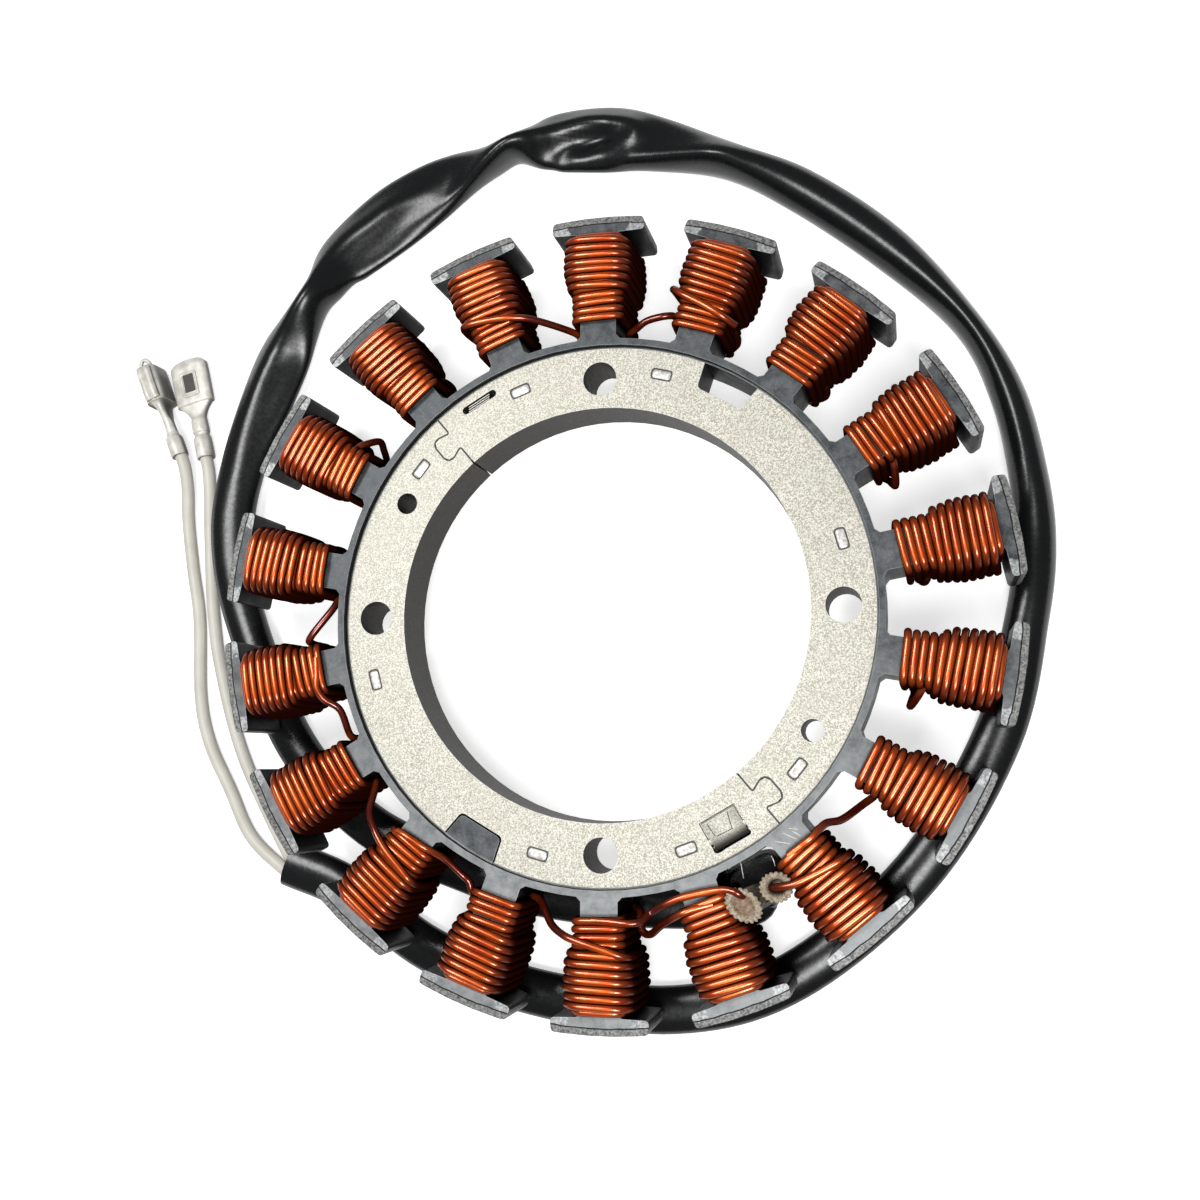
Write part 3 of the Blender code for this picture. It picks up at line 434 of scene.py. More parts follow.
def evenly(points, step):
    """Points spread evenly along the path."""
    lengths = [0.0]
    for start, end in zip(points, points[1:]):
        lengths.append(lengths[-1] + (end - start).length)
    count = max(2, round(lengths[-1] / step))
    spread = []
    place = 0
    for index in range(count):
        wanted = lengths[-1] * index / count
        while lengths[place + 1] < wanted:
            place += 1
        share = (wanted - lengths[place]) / (lengths[place + 1] - lengths[place])
        spread.append(points[place].lerp(points[place + 1], share))
    return [*spread, points[-1]]


def chord(path, index):
    """From the point before this one to the point after it."""
    return path[min(index + 1, len(path) - 1)] - path[max(index - 1, 0)]


def in_metres(route):
    return [Vector(point) / 1000 for point in route]


def near_poles(route):
    """Points given as pole, u, v and z in millimetres."""
    return [spot(pole_angle(pole), u / 1000, v / 1000, z / 1000) for pole, u, v, z in route]


# Meshes


def skin(name, loops, material, closed_ends=True):
    """A mesh over loops with the same number of points."""
    mesh = bmesh.new()
    rings = [[mesh.verts.new(point) for point in loop] for loop in loops]
    for ring, following in zip(rings, rings[1:]):
        for index in range(len(ring)):
            after = (index + 1) % len(ring)
            mesh.faces.new((ring[index], ring[after], following[after], following[index]))
    if closed_ends:
        mesh.faces.new(rings[0])
        mesh.faces.new(rings[-1])
    bmesh.ops.recalc_face_normals(mesh, faces=mesh.faces)
    data = bpy.data.meshes.new(name)
    mesh.to_mesh(data)
    mesh.free()
    data.shade_smooth()
    data.set_sharp_from_angle(angle=radians(50))
    data.materials.append(material)
    obj = bpy.data.objects.new(name, data)
    bpy.context.scene.collection.objects.link(obj)
    return obj


def frames_along(path):
    """A side and an up direction at each point, carried along the path without twist."""
    frames = []
    side = None
    for index in range(len(path)):
        along = chord(path, index).normalized()
        if side is None:
            side = along.cross(UP)
        side = (side - along * side.dot(along)).normalized()
        frames.append((side, side.cross(along).normalized()))
    return frames


def tube(name, path, radius, material, sides=10):
    loops = []
    turns = [tau * index / sides for index in range(sides)]
    for point, (side, over) in zip(path, frames_along(path)):
        loops.append([point + (side * cos(t) + over * sin(t)) * radius for t in turns])
    return skin(name, loops, material)


def place(piece, slot, *nodes):
    """Makes the piece ride on the part and stand for its nodes, whose parts it hides. Its slot is not
    used.
    """
    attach(piece, "root")
    if nodes:
        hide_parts(*nodes)
    return piece


# Materials

# Noise as scale, detail and roughness, the span of it that goes from dark to light, both colours,
# roughness and metal, and the relief's strength and depth
MOTTLED = {
    "glass_braid": (
        (2400, 4, 0.7), (0.35, 0.65), (0.20, 0.15, 0.10), (0.62, 0.53, 0.40), (0.85, 0), (0.6, 0.0001),
    ),
    "joint_fill": (
        (1400, 4, 0.7), (0.35, 0.65), (0.10, 0.045, 0.022), (0.34, 0.22, 0.13), (0.35, 0), (0.5, 0.0003),
    ),
    # mark_shade: the dark seam lines, and painted shade in the marks' grooves, the flap's creases and
    # terminal A's window
    "mark_shade": (
        (2600, 3), (0, 1), (0.040, 0.036, 0.032), (0.12, 0.11, 0.095), (0.6, 0), (0.2, 0.00003),
    ),
    # pressed_steel: pale scratches and stray fibres, and the marks' faces, where its paleness is partly
    # a painted highlight
    "pressed_steel": (
        (1800, 2), (0.35, 0.65), (0.52, 0.50, 0.45), (0.97, 0.96, 0.92), (0.4, 0.3), (0.3, 0.00008),
    ),
}


class Paint:
    """A material with short calls for the nodes that it is made of."""

    def __init__(self, name):
        self.material = bpy.data.materials.new(name)
        self.material.use_nodes = True
        self.tree = self.material.node_tree
        self.surface = self.tree.nodes["Principled BSDF"]

    def node(self, kind, *values, **settings):
        """A node with these settings, whose first sockets take the values."""
        made = self.tree.nodes.new("ShaderNode" + kind)
        for key, value in settings.items():
            setattr(made, key, value)
        for socket, value in zip(made.inputs, values):
            self.feed(socket, value)
        return made

    def feed(self, socket, value):
        """Links another node's socket, or sets a number or a colour of three numbers."""
        if isinstance(value, bpy.types.NodeSocket):
            self.tree.links.new(value, socket)
        elif isinstance(value, tuple):
            socket.default_value = (*value, 1)
        elif value is not None:
            socket.default_value = value

    def math(self, operation, *values):
        return self.node("Math", *values, operation=operation).outputs[0]

    def place_in_part(self):
        return self.node("TexCoord").outputs["Object"]

    def noise(self, scale, detail=3.0, roughness=0.5):
        made = self.node("TexNoise")
        self.feed(made.inputs["Vector"], self.place_in_part())
        self.feed(made.inputs["Scale"], scale)
        self.feed(made.inputs["Detail"], detail)
        self.feed(made.inputs["Roughness"], roughness)
        return made.outputs["Fac"]

    def spread(self, value, low, high, to_low=0.0, to_high=1.0):
        """Maps low to high onto another range, held at its ends."""
        return self.node("MapRange", value, low, high, to_low, to_high).outputs[0]

    def mix(self, share, first, second):
        made = self.node("Mix", data_type="RGBA")
        self.feed(made.inputs[0], share)
        self.feed(made.inputs[6], first)
        self.feed(made.inputs[7], second)
        return made.outputs[2]

    def edge_wear_and_highlight(self, radius, low=0.02, high=0.30):
        """1 along edges and 0 on flat faces, from how much a rounded normal leans. The ring and the core
        use it for painted highlights along their edges, the terminals for wear.
        """
        rounded = self.node("Bevel", radius, samples=6).outputs[0]
        plain = self.node("NewGeometry").outputs["Normal"]
        dot = self.node("VectorMath", rounded, plain, operation="DOT_PRODUCT")
        lean = self.math("SUBTRACT", 1.0, dot.outputs["Value"])
        return self.spread(lean, low, high)

    def bump(self, height, strength, distance, bevel=0.0):
        made = self.node("Bump")
        self.feed(made.inputs["Strength"], strength)
        self.feed(made.inputs["Distance"], distance)
        self.feed(made.inputs["Height"], height)
        if bevel:
            self.feed(made.inputs["Normal"], self.node("Bevel", bevel, samples=6).outputs[0])
        return made.outputs[0]

    def axes(self, vector):
        """The X, Y and Z of a vector."""
        return self.node("SeparateXYZ", vector).outputs

    def facing_up(self):
        """1 on faces that look along the axis, 0 on walls."""
        normal = self.node("NewGeometry").outputs["True Normal"]
        return self.spread(self.math("ABSOLUTE", self.axes(normal)["Z"]), 0.6, 0.8)

    def leaning_up(self, low, high):
        """From 0 on walls and undersides to 1 on the side with the crossing wires."""
        normal = self.node("NewGeometry").outputs["Normal"]
        return self.spread(self.axes(normal)["Z"], low, high)

    def towards_front(self, low, high):
        """From 0 to 1 across the part, towards the side with the joints."""
        y = self.axes(self.place_in_part())["Y"]
        return self.spread(self.math("MULTIPLY", y, -1.0), low, high)

    def radius(self):
        """Distance from the stator's axis."""
        parts = self.axes(self.place_in_part())
        flat = self.node("CombineXYZ", parts["X"], parts["Y"]).outputs[0]
        return self.node("VectorMath", flat, operation="LENGTH").outputs["Value"]

    def distance_from_pole(self):
        """How far a place lies from the middle of the nearest tooth, across it."""
        parts = self.axes(self.place_in_part())
        angle = self.math("ARCTAN2", parts["X"], parts["Y"])
        turns = self.math("ADD", self.math("DIVIDE", angle, PITCH), 0.5)
        share = self.math("SUBTRACT", self.math("FRACT", turns), 0.5)
        across = self.math("MULTIPLY", self.math("ABSOLUTE", share), PITCH)
        return self.math("MULTIPLY", across, self.radius())

    def finish(self, color, roughness, metallic=0.0, normal=None, more=None):
        inputs = self.surface.inputs
        self.feed(inputs["Base Color"], color)
        self.feed(inputs["Roughness"], roughness)
        self.feed(inputs["Metallic"], metallic)
        self.feed(inputs["Normal"], normal)
        for key, value in (more or {}).items():
            self.feed(inputs[key], value)
        return self.material


def mottled(name):
    """A finish whose colour and relief follow the same noise."""
    noise_kind, span, dark, light, surface, relief = MOTTLED[name]
    paint = Paint(name)
    grain = paint.noise(*noise_kind)
    color = paint.mix(paint.spread(grain, *span), dark, light)
    return paint.finish(color, *surface, paint.bump(grain, *relief))


def ring_steel():
    paint = Paint("ring_steel")
    grain = paint.noise(4200, 3, 0.6)
    patches = paint.noise(160, 3, 0.6)
    light = paint.mix(paint.spread(grain, 0.42, 0.58), (0.40, 0.38, 0.315), (0.90, 0.88, 0.775))
    soft = paint.spread(patches, 0.35, 0.7, 0.0, 0.3)
    face = paint.mix(soft, light, (0.62, 0.60, 0.52))
    # Pale lines along the ring's edges: painted highlight.
    edges = paint.edge_wear_and_highlight(0.00030)
    face = paint.mix(edges, face, (0.90, 0.89, 0.84))
    # Near-black walls, on every face that doesn't look along the axis: painted shade.
    shaded_wall = paint.mix(paint.noise(900, 2), (0.020, 0.017, 0.015), (0.045, 0.040, 0.035))
    color = paint.mix(paint.facing_up(), shaded_wall, face)
    rough = paint.spread(grain, 0.3, 0.7, 0.42, 0.62)
    normal = paint.bump(grain, 0.25, 0.00004, bevel=0.00015)
    metallic = paint.math("MULTIPLY", paint.facing_up(), 0.25)
    return paint.finish(color, rough, metallic, normal, {"Specular IOR Level": 0.2})


def flap_steel():
    """The ring's steel, with painted shade where the flap turns down."""
    paint = Paint("flap_steel")
    grain = paint.noise(4200, 3, 0.6)
    face = paint.mix(paint.spread(grain, 0.40, 0.60), (0.42, 0.40, 0.345), (0.78, 0.76, 0.67))
    low = paint.mix(grain, (0.055, 0.050, 0.042), (0.11, 0.10, 0.088))
    # Painted shade: darker beyond the flap's bend.
    color = paint.mix(paint.spread(paint.radius(), 0.0434, 0.0450), face, low)
    return paint.finish(color, 0.5, 0.2, paint.bump(grain, 0.25, 0.00004))


def core_coating():
    """Dark coating, with paler ends on each head's inner strip and a bare strip at its rim. Its colour
    also holds painted light: a sheen towards the joints' side, highlights along edges, shade on the
    walls and a shadow line at the bare strip's border.
    """
    paint = Paint("core_coating")
    mottle = paint.noise(330, 5, 0.7)
    fine = paint.noise(2600, 3, 0.6)
    face = paint.mix(paint.spread(mottle, 0.36, 0.66), (0.062, 0.067, 0.072), (0.155, 0.163, 0.168))
    # Painted sheen: the faces beyond the ring grow paler towards the side with the joints.
    painted_sheen = paint.mix(paint.spread(mottle, 0.36, 0.66), (0.21, 0.22, 0.225), (0.37, 0.38, 0.385))
    beyond_ring = paint.spread(paint.radius(), RING_RADIUS - 0.0001, RING_RADIUS)
    sheen_share = paint.math("MULTIPLY", paint.towards_front(0.0, 0.046), beyond_ring)
    face = paint.mix(sheen_share, face, painted_sheen)
    face = paint.mix(paint.spread(fine, 0.55, 0.8, 0, 0.35), face, (0.34, 0.35, 0.35))
    radius = paint.radius()
    aside = paint.distance_from_pole()
    ragged = paint.spread(paint.noise(700, 3), 0.3, 0.7, -0.0006, 0.0006)
    aside = paint.math("ADD", aside, ragged)
    at_end = paint.spread(aside, HEAD_SHADE - 0.0001, HEAD_SHADE + 0.0001)
    on_head = paint.spread(radius, HEAD_BASE - 0.0003, HEAD_BASE)
    pale = paint.mix(paint.spread(fine, 0.4, 0.6), (0.24, 0.25, 0.255), (0.52, 0.53, 0.53))
    face = paint.mix(paint.math("MULTIPLY", at_end, on_head), face, pale)
    # Pale lines along the core's edges: painted highlight.
    edges = paint.edge_wear_and_highlight(0.00028)
    face = paint.mix(paint.math("MULTIPLY", edges, 0.8), face, (0.62, 0.63, 0.62))
    # Near-black flanks and walls: painted shade.
    shaded_wall = paint.mix(fine, (0.003, 0.003, 0.0035), (0.012, 0.012, 0.013))
    color = paint.mix(paint.facing_up(), shaded_wall, face)
    wave = paint.spread(paint.noise(400, 2), 0.3, 0.7, -0.00009, 0.00009)
    bare_from = paint.math("ADD", HEAD_RADIUS - BARE_STRIP, wave)
    beyond = paint.math("SUBTRACT", radius, bare_from)
    bare = paint.spread(beyond, 0.0, 0.00008)
    speckle = paint.noise(2600, 4, 0.75)
    steel = paint.mix(paint.spread(speckle, 0.38, 0.62), (0.07, 0.07, 0.07), (0.36, 0.36, 0.35))
    # A dark line where the bare strip begins: painted shadow of the step from the coating down to the
    # steel.
    line = paint.math("COMPARE", beyond, -0.00007, 0.00013)
    color = paint.mix(line, color, (0.02, 0.02, 0.02))
    color = paint.mix(bare, color, steel)
    height = paint.math("ADD", paint.math("MULTIPLY", speckle, bare), mottle)
    normal = paint.bump(height, 0.4, 0.00010, bevel=0.00020)
    rough = paint.spread(mottle, 0.3, 0.7, 0.36, 0.56)
    metallic = paint.math("MULTIPLY", paint.facing_up(), 0.35)
    return paint.finish(color, rough, metallic, normal, {"Specular IOR Level": 0.12})


def copper_enamel():
    paint = Paint("copper_enamel")
    tint = paint.noise(160, 2)
    face = paint.mix(paint.spread(tint, 0.35, 0.65), (0.72, 0.112, 0.016), (0.98, 0.205, 0.036))
    # Painted shade: the wire darkens away from each tooth's middle, at the turns' ends and on the wires
    # between coils.
    drift = paint.spread(tint, 0.3, 0.7, -0.0010, 0.0010)
    aside = paint.math("ADD", paint.distance_from_pole(), drift)
    face = paint.mix(paint.spread(aside, 0.0022, 0.0066), face, (0.17, 0.018, 0.005))
    # Painted shade: flanks and undersides turn near black, and the same share sets the coat and the
    # metal.
    upward = paint.leaning_up(0.30, 1.0)
    color = paint.mix(upward, (0.040, 0.006, 0.003), face)
    fine = paint.noise(1500, 2)
    normal = paint.bump(fine, 0.10, 0.00005)
    rough = paint.spread(tint, 0.3, 0.7, 0.30, 0.38)
    more = {
        "Specular IOR Level": 0.0,
        "Coat Weight": upward,
        "Coat Roughness": 0.18,
        "Coat IOR": 1.65,
        "Coat Tint": (1.0, 0.80, 0.55),
    }
    return paint.finish(color, rough, paint.math("MULTIPLY", upward, 0.9), normal, more)


def black_vinyl():
    paint = Paint("black_vinyl")
    soft = paint.noise(70, 3)
    fine = paint.noise(1300, 3)
    color = paint.mix(soft, (0.004, 0.0045, 0.005), (0.008, 0.0085, 0.009))
    height = paint.math("ADD", paint.math("MULTIPLY", soft, 2.0), fine)
    normal = paint.bump(height, 0.06, 0.0002)
    rough = paint.spread(fine, 0.3, 0.7, 0.22, 0.29)
    return paint.finish(color, rough, 0.0, normal, {"Specular IOR Level": 0.5})


def lead_insulation():
    paint = Paint("lead_insulation")
    soft = paint.noise(240, 3)
    color = paint.mix(soft, (0.60, 0.58, 0.50), (0.78, 0.76, 0.68))
    normal = paint.bump(paint.noise(900, 2), 0.15, 0.0001)
    return paint.finish(color, 0.42, 0.0, normal)


def terminal_tin():
    paint = Paint("terminal_tin")
    dull = paint.noise(500, 4)
    face = paint.mix(paint.spread(dull, 0.35, 0.65), (0.66, 0.64, 0.57), (0.90, 0.88, 0.81))
    # Painted shade: the terminal's sides and underside are far darker than its top.
    face = paint.mix(paint.leaning_up(0.05, 0.55), (0.07, 0.067, 0.060), face)
    edges = paint.edge_wear_and_highlight(0.00030)
    color = paint.mix(edges, face, (0.84, 0.76, 0.50))
    normal = paint.bump(dull, 0.2, 0.00008, bevel=0.0003)
    return paint.finish(color, paint.spread(dull, 0.3, 0.7, 0.34, 0.48), 0.15, normal)


# Ring and core


def closed_band(name, path, width, low, high, material):
    """A thin flat band along a path on the ring's face, with square ends."""
    loops = []
    for index, point in enumerate(path):
        side = UP.cross(chord(path, index)).normalized() * width / 2
        corners = ((-side, low), (side, low), (side, high), (-side, high))
        loops.append([Vector((point.x + s.x, point.y + s.y, z)) for s, z in corners])
    return skin(name, loops, material)


def corner_arc(index, half_a, half_b, corner):
    """Points round a rectangle's corner; 0 is the one where both ways are positive."""
    side_a, side_b = ((1, 1), (-1, 1), (-1, -1), (1, -1))[index % 4]
    arc = []
    for step in range(CORNER_STEPS + 1):
        turn = pi / 2 * (index + step / CORNER_STEPS)
        a = side_a * (half_a - corner) + cos(turn) * corner
        b = side_b * (half_b - corner) + sin(turn) * corner
        arc.append((a, b))
    return arc


def pad_loop(centre, along, half_long, half_wide, corner, z):
    """Points round a flat rectangle with round corners, whose long way runs along."""
    across = UP.cross(along)
    loop = []
    for index in range(4):
        for a, b in corner_arc(index, half_long, half_wide, corner):
            point = centre + along * a + across * b
            loop.append(Vector((point.x, point.y, z)))
    return loop


def mark_loop(angle, inset, z):
    """Points round an interlock mark, which lies across the radius."""
    centre = spot(angle, MARK_CIRCLE, 0)
    along = spot(angle, 0, 1)
    corner = max(MARK_CORNER - inset, LEAST_CORNER)
    return pad_loop(centre, along, MARK_LENGTH / 2 - inset, MARK_WIDTH / 2 - inset, corner, z)


def interlock_marks(bright, shade):
    # Each mark: a dark outline of painted shade in its groove, round a face of bare pressed steel whose
    # paleness is partly a painted highlight.
    for half, start in HALF_STARTS.items():
        for index, offset in enumerate(MARK_ANGLES):
            name = f"stake_{half}_{index + 1}"
            for part, profile, finish in (("_line", MARK_LINE, shade), ("_face", MARK_FACE, bright)):
                loops = [mark_loop(start + offset, inset, MARK_TOP + z) for inset, z in profile]
                place(skin(name + part, loops, finish), "ring_steel")


def seams(shade):
    """A dark smooth line along each jigsaw seam."""
    mirrored = [(2 * SEAM_MIDDLE - u, v) for u, v in reversed(SEAM_HALF[:-1])]
    for half, start in HALF_STARTS.items():
        corners = [spot(start, u / 1000, v / 1000) for u, v in (*SEAM_HALF, *mirrored)]
        path = curve(corners, steps=3)
        low = RING_HALF - LINE_DEPTH
        band = closed_band("seam_line_" + half, path, LINE_WIDTH, low, MARK_TOP, shade)
        place(band, "ring_steel")


def core_seam(shade):
    """The joint between the ring's rim and the toothed core."""
    middle = RING_RADIUS + SEAM_WIDTH / 2
    steps = 180
    path = [spot(tau * step / steps, middle, 0) for step in range(steps + 1)]
    band = closed_band("core_seam", path, SEAM_WIDTH, -RING_HALF, RING_HALF - SEAM_DEPTH, shade)
    place(band, "core_coating")


def flap(steel, shade):
    """The flap's rounded edge, which fills the slot, and the creases across it, drawn as dark lines of
    painted shade.
    """
    angle = HALF_STARTS["b"] + SLOT_ANGLE
    sides = []
    for v in (-FLAP_HALF, -FLAP_HALF + FLAP_ROUND, FLAP_HALF - FLAP_ROUND, FLAP_HALF):
        drop = FLAP_ROUND if abs(v) == FLAP_HALF else 0
        over = [spot(angle, u / 1000, v, z / 1000 - drop) for u, z in FLAP_TOP]
        under = [spot(angle, u / 1000 - FLAP_SHEET, v, z / 1000 - FLAP_SHEET) for u, z in FLAP_TOP]
        sides.append([*over, *reversed(under)])
    place(skin("flap_sheet", sides, steel), "ring_steel")
    for index, ends in enumerate(FLAP_CREASES):
        path = [spot(angle, u / 1000, v / 1000) for u, v in ends]
        name = f"flap_crease_{index + 1}"
        band = closed_band(name, path, CREASE_WIDTH, *CREASE_HEIGHTS, shade)
        place(band, "ring_steel")


def slot_strips(steel):
    """Edges of the laminations that show inside half A's slot."""
    angle = HALF_STARTS["a"] + SLOT_ANGLE
    for index, u in enumerate(STRIP_OFFSETS):
        path = [spot(angle, SLOT_RADIUS + u, v - STRIP_SHIFT * index) for v in STRIP_ENDS]
        name = f"slot_strip_{index + 1}"
        band = closed_band(name, path, STRIP_WIDTH, *STRIP_HEIGHTS, steel)
        place(band, "ring_steel")


# Coils


def turn_points(half_v, half_z, corner):
    """Points round a turn, with round corners and bowed sides, from its rear clockwise corner."""
    path = []
    for index in range(2, 6):
        path += corner_arc(index, half_v, half_z, corner)
        last_v, last_z = path[-1]
        next_v, next_z = corner_arc(index + 1, half_v, half_z, corner)[0]
        turn = pi / 2 * (index + 1)
        for step in range(1, SIDE_STEPS + 1):
            share = step / (SIDE_STEPS + 1)
            out = COIL_BOW * 4 * share * (1 - share)
            v = last_v + (next_v - last_v) * share + cos(turn) * out
            z = last_z + (next_z - last_z) * share + sin(turn) * out
            path.append((v, z))
    return path


def coil_path(pole, rng):
    """The wire of one coil: out along the tooth in a first layer, then part of the way back."""
    angle = pole_angle(pole)
    radius = WIRE / 2
    pitch = (COIL_END - COIL_START - WIRE) / (TURNS - 1)
    path = []
    slant = rng.uniform(-COIL_SLANT, COIL_SLANT)
    for layer in (0, 1):
        lift = layer * LAYER_RISE
        turns = OUTER_TURNS if layer else TURNS
        for turn in range(turns):
            if layer:
                lift = LAYER_RISE * (1 - END_SINK * exp(-(turns - 1 - turn) / END_TURNS))
            loose_v = rng.uniform(0, SIDE_PLAY)
            loose_z = rng.uniform(0, FRONT_PLAY)
            if layer:
                bulge = sin(pi * (turn + 0.5) / turns)
                loose_v += OUTER_BULGE * bulge + rng.uniform(0, OUTER_PLAY)
            half_v = TOOTH_HALF + COIL_CLEARANCE + radius + lift + loose_v
            half_z = CORE_HALF + COIL_CLEARANCE + radius + lift + loose_z
            points = turn_points(half_v, half_z, COIL_CORNER + lift)
            first = COIL_START + radius + turn * pitch
            if layer:
                first = COIL_END - radius - (turn + 0.5) * pitch
            lean = rng.uniform(-TURN_LEAN, TURN_LEAN)
            if turn in (0, turns - 1):
                lean = 0
            for index, (v, z) in enumerate(points):
                if not layer and not turn and index < HIDDEN_START:
                    continue
                share = index / len(points)
                step = pitch * (share - 0.5) * (0 if turn == turns - 1 and not layer else 1)
                u = first + (-step if layer else step) + lean * sin(tau * share)
                u += slant * v / half_v * min(turn, turns - 1 - turn, 2) / 2
                path.append(spot(angle, u, v, z))
    return path


def coils(copper):
    for pole in range(1, POLES + 1):
        name = f"coil_{pole:02d}"
        rng = random.Random(pole)
        wound = tube(name + "_wire", coil_path(pole, rng), WIRE / 2, copper)
        place(wound, "copper_enamel", name)


# Wires between the coils


def rear_path(first, second, lane):
    """Down the first coil's clockwise flank, along the yoke's rear face and up to the next neck."""
    rear = -CROWN * 1000
    start = TIP_START if first in LINKS_WITH_TIP else REAR_START
    return near_poles(
        (
            *((first, *point) for point in start),
            (first, 54.2, -3.4, -8.6),
            (first, 52.6, -1.8, -8.8),
            (first, 50.8, -1.4, rear - 0.5),
            (first, lane, -3.0, rear),
            (first, lane, -6.4, rear),
            (second, lane, 6.0, rear),
            (second, lane + 0.4, 3.0, rear),
            (second, lane + 1.2, 1.8, rear),
            (second, COIL_START * 1000, 1.2, rear),
        )
    )


def wires(copper):
    for name, route in WIRES.items():
        path = curve(near_poles(route), steps=6)
        place(tube(name + "_wire", path, WIRE / 2, copper), "copper_enamel", name)
    for first, second, lane in REAR_LINKS:
        name = f"link_{first:02d}_{second:02d}"
        path = curve(rear_path(first, second, lane), steps=5)
        place(tube(name + "_wire", path, WIRE / 2, copper), "copper_enamel", name)
    path = curve(near_poles(COIL_2_STRAND), steps=6)
    place(tube("coil_02_strand", path, WIRE / 2, copper), "copper_enamel")


# Joints


def lobed_ring(centre, long_way, radius, lobe, phase=0.0):
    """Points round the braid, with a lobe for each of its yarns and longer one way."""
    short_way = UP.cross(long_way).normalized()
    loop = []
    for index in range(SPLICE_SIDES):
        turn = tau * index / SPLICE_SIDES
        reach = radius + lobe * abs(cos(SPLICE_LOBES * turn / 2 + phase))
        across = long_way * cos(turn) + short_way * sin(turn)
        loop.append(centre + across * reach)
    return loop


def splice(name, braid, fill=None):
    """A braided sleeve from its foot to its frayed rim, which is longer one way than the other."""
    foot, rim, stretch, heading = SPLICES[name]
    foot, rim = Vector(foot), Vector(rim)
    long_way = spot(radians(heading), 1, 0)
    loops = []
    for row in range(SPLICE_ROWS + 1):
        share = row / SPLICE_ROWS
        radius = SPLICE_RADIUS + SPLICE_FLARE * max(0.0, share - FLARE_FROM) / (1 - FLARE_FROM)
        phase = pi / 2 * (row % 2)
        longer = long_way * (1 + (stretch - 1) * share)
        loops.append(lobed_ring(foot.lerp(rim, share), longer, radius, SPLICE_LOBE, phase))
    longest = long_way * stretch
    for rise, radius, lobe in SPLICE_END:
        loops.append(lobed_ring(rim + UP * rise, longest, radius, lobe))
    if fill:
        plug = [lobed_ring(rim + UP * rise, longest, radius, 0.0) for rise, radius in SPLICE_FILL]
        place(skin(name + "_fill", plug, fill), "glass_braid")
    place(skin(name + "_braid", loops, braid), "glass_braid", name)


def details(bright):
    """Scratches on a neck, and stray fibres in the sleeve's mouth."""
    angle = pole_angle(SCRATCHED_POLE)
    for index, ends in enumerate(SCRATCHES):
        path = [spot(angle, u / 1000, v / 1000) for u, v in ends]
        name = f"scratch_{index + 1}"
        band = closed_band(name, path, SCRATCH_WIDTH, *SCRATCH_HEIGHTS, bright)
        place(band, "core_coating")
    for index, points in enumerate(FIBRES):
        path = curve(in_metres(points), steps=5)
        place(tube(f"fibre_{index + 1}", path, FIBRE_RADIUS, bright, sides=6), "glass_braid")


def terminal_ways(name):
    """The wire end of a terminal's middle line, and the ways along and across it."""
    start, end = (Vector((x / 1000, y / 1000, 0)) for x, y in TERMINAL_AXES[name])
    along = (end - start).normalized()
    return start, along, UP.cross(along)


def on_terminal(name, distance, aside, height):
    """The point at these millimetres from the wire end, across and above the table."""
    start, along, across = terminal_ways(name)
    foot = start + along * distance / 1000 + across * aside / 1000
    return foot + UP * (TABLE + height / 1000)


def terminal_body(name, tin):
    """A terminal with its crimps, from its wire end to its mouth."""
    across = terminal_ways(name)[2]
    sides = 28
    stations = TERMINAL_STATIONS[name]
    path = curve([Vector(station[:3]) for station in stations], steps=4)
    rest = curve([Vector((*station[3:], 0)) for station in stations], steps=4)
    loops = []
    for (distance, half, low), (high, power, _) in zip(path, rest):
        middle = on_terminal(name, distance, 0, (high + low) / 2)
        loop = []
        for step in range(sides):
            turn = tau * step / sides
            a = copysign(abs(cos(turn)) ** power, cos(turn)) * half / 1000
            b = copysign(abs(sin(turn)) ** power, sin(turn)) * (high - low) / 2000
            loop.append(middle + across * a + UP * b)
        loops.append(loop)
    return place(skin(name + "_body", loops, tin), "terminal_tin", name)


def flat_terminal(tin, dark):
    """Terminal A, which lies flat and shows the window in its upper face."""
    name = "terminal_a"
    pieces = [terminal_body(name, tin)]
    along = terminal_ways(name)[1]
    # The window's hollow is a dark pad of painted shade below its rim.
    for part, distance, corner, profile, material in (
        ("_frame", 16.2, 0.0004, WINDOW_RIM, tin),
        ("_window", 16.4, 0.0002, WINDOW_HOLLOW, dark),
    ):
        centre = on_terminal(name, distance, 0, 0)
        loops = []
        for point in profile:
            half_long, half_wide, height = Vector(point) / 1000
            loops.append(pad_loop(centre, along, half_long, half_wide, corner, WINDOW_TOP + height))
        pieces.append(place(skin(name + part, loops, material), "terminal_tin"))
    return pieces


def edged_terminal(tin):
    """Terminal B, which stands on its edge, with both sides rolled in and an arch at its mouth."""
    name = "terminal_b"
    pieces = [terminal_body(name, tin)]
    for index, aside in enumerate((-ROLL_ASIDE, ROLL_ASIDE)):
        points = [on_terminal(name, distance, aside, height) for distance, height in ROLL]
        path = curve(points, steps=6)
        roll = tube(f"terminal_b_roll_{index + 1}", path, ROLL_RADIUS, tin)
        pieces.append(place(roll, "terminal_tin"))
    path = curve([on_terminal(name, *point) for point in ARCH], steps=6)
    arch = tube("terminal_b_arch", path, ARCH_RADIUS, tin, sides=8)
    pieces.append(place(arch, "terminal_tin"))
    return pieces


# Sleeve and leads


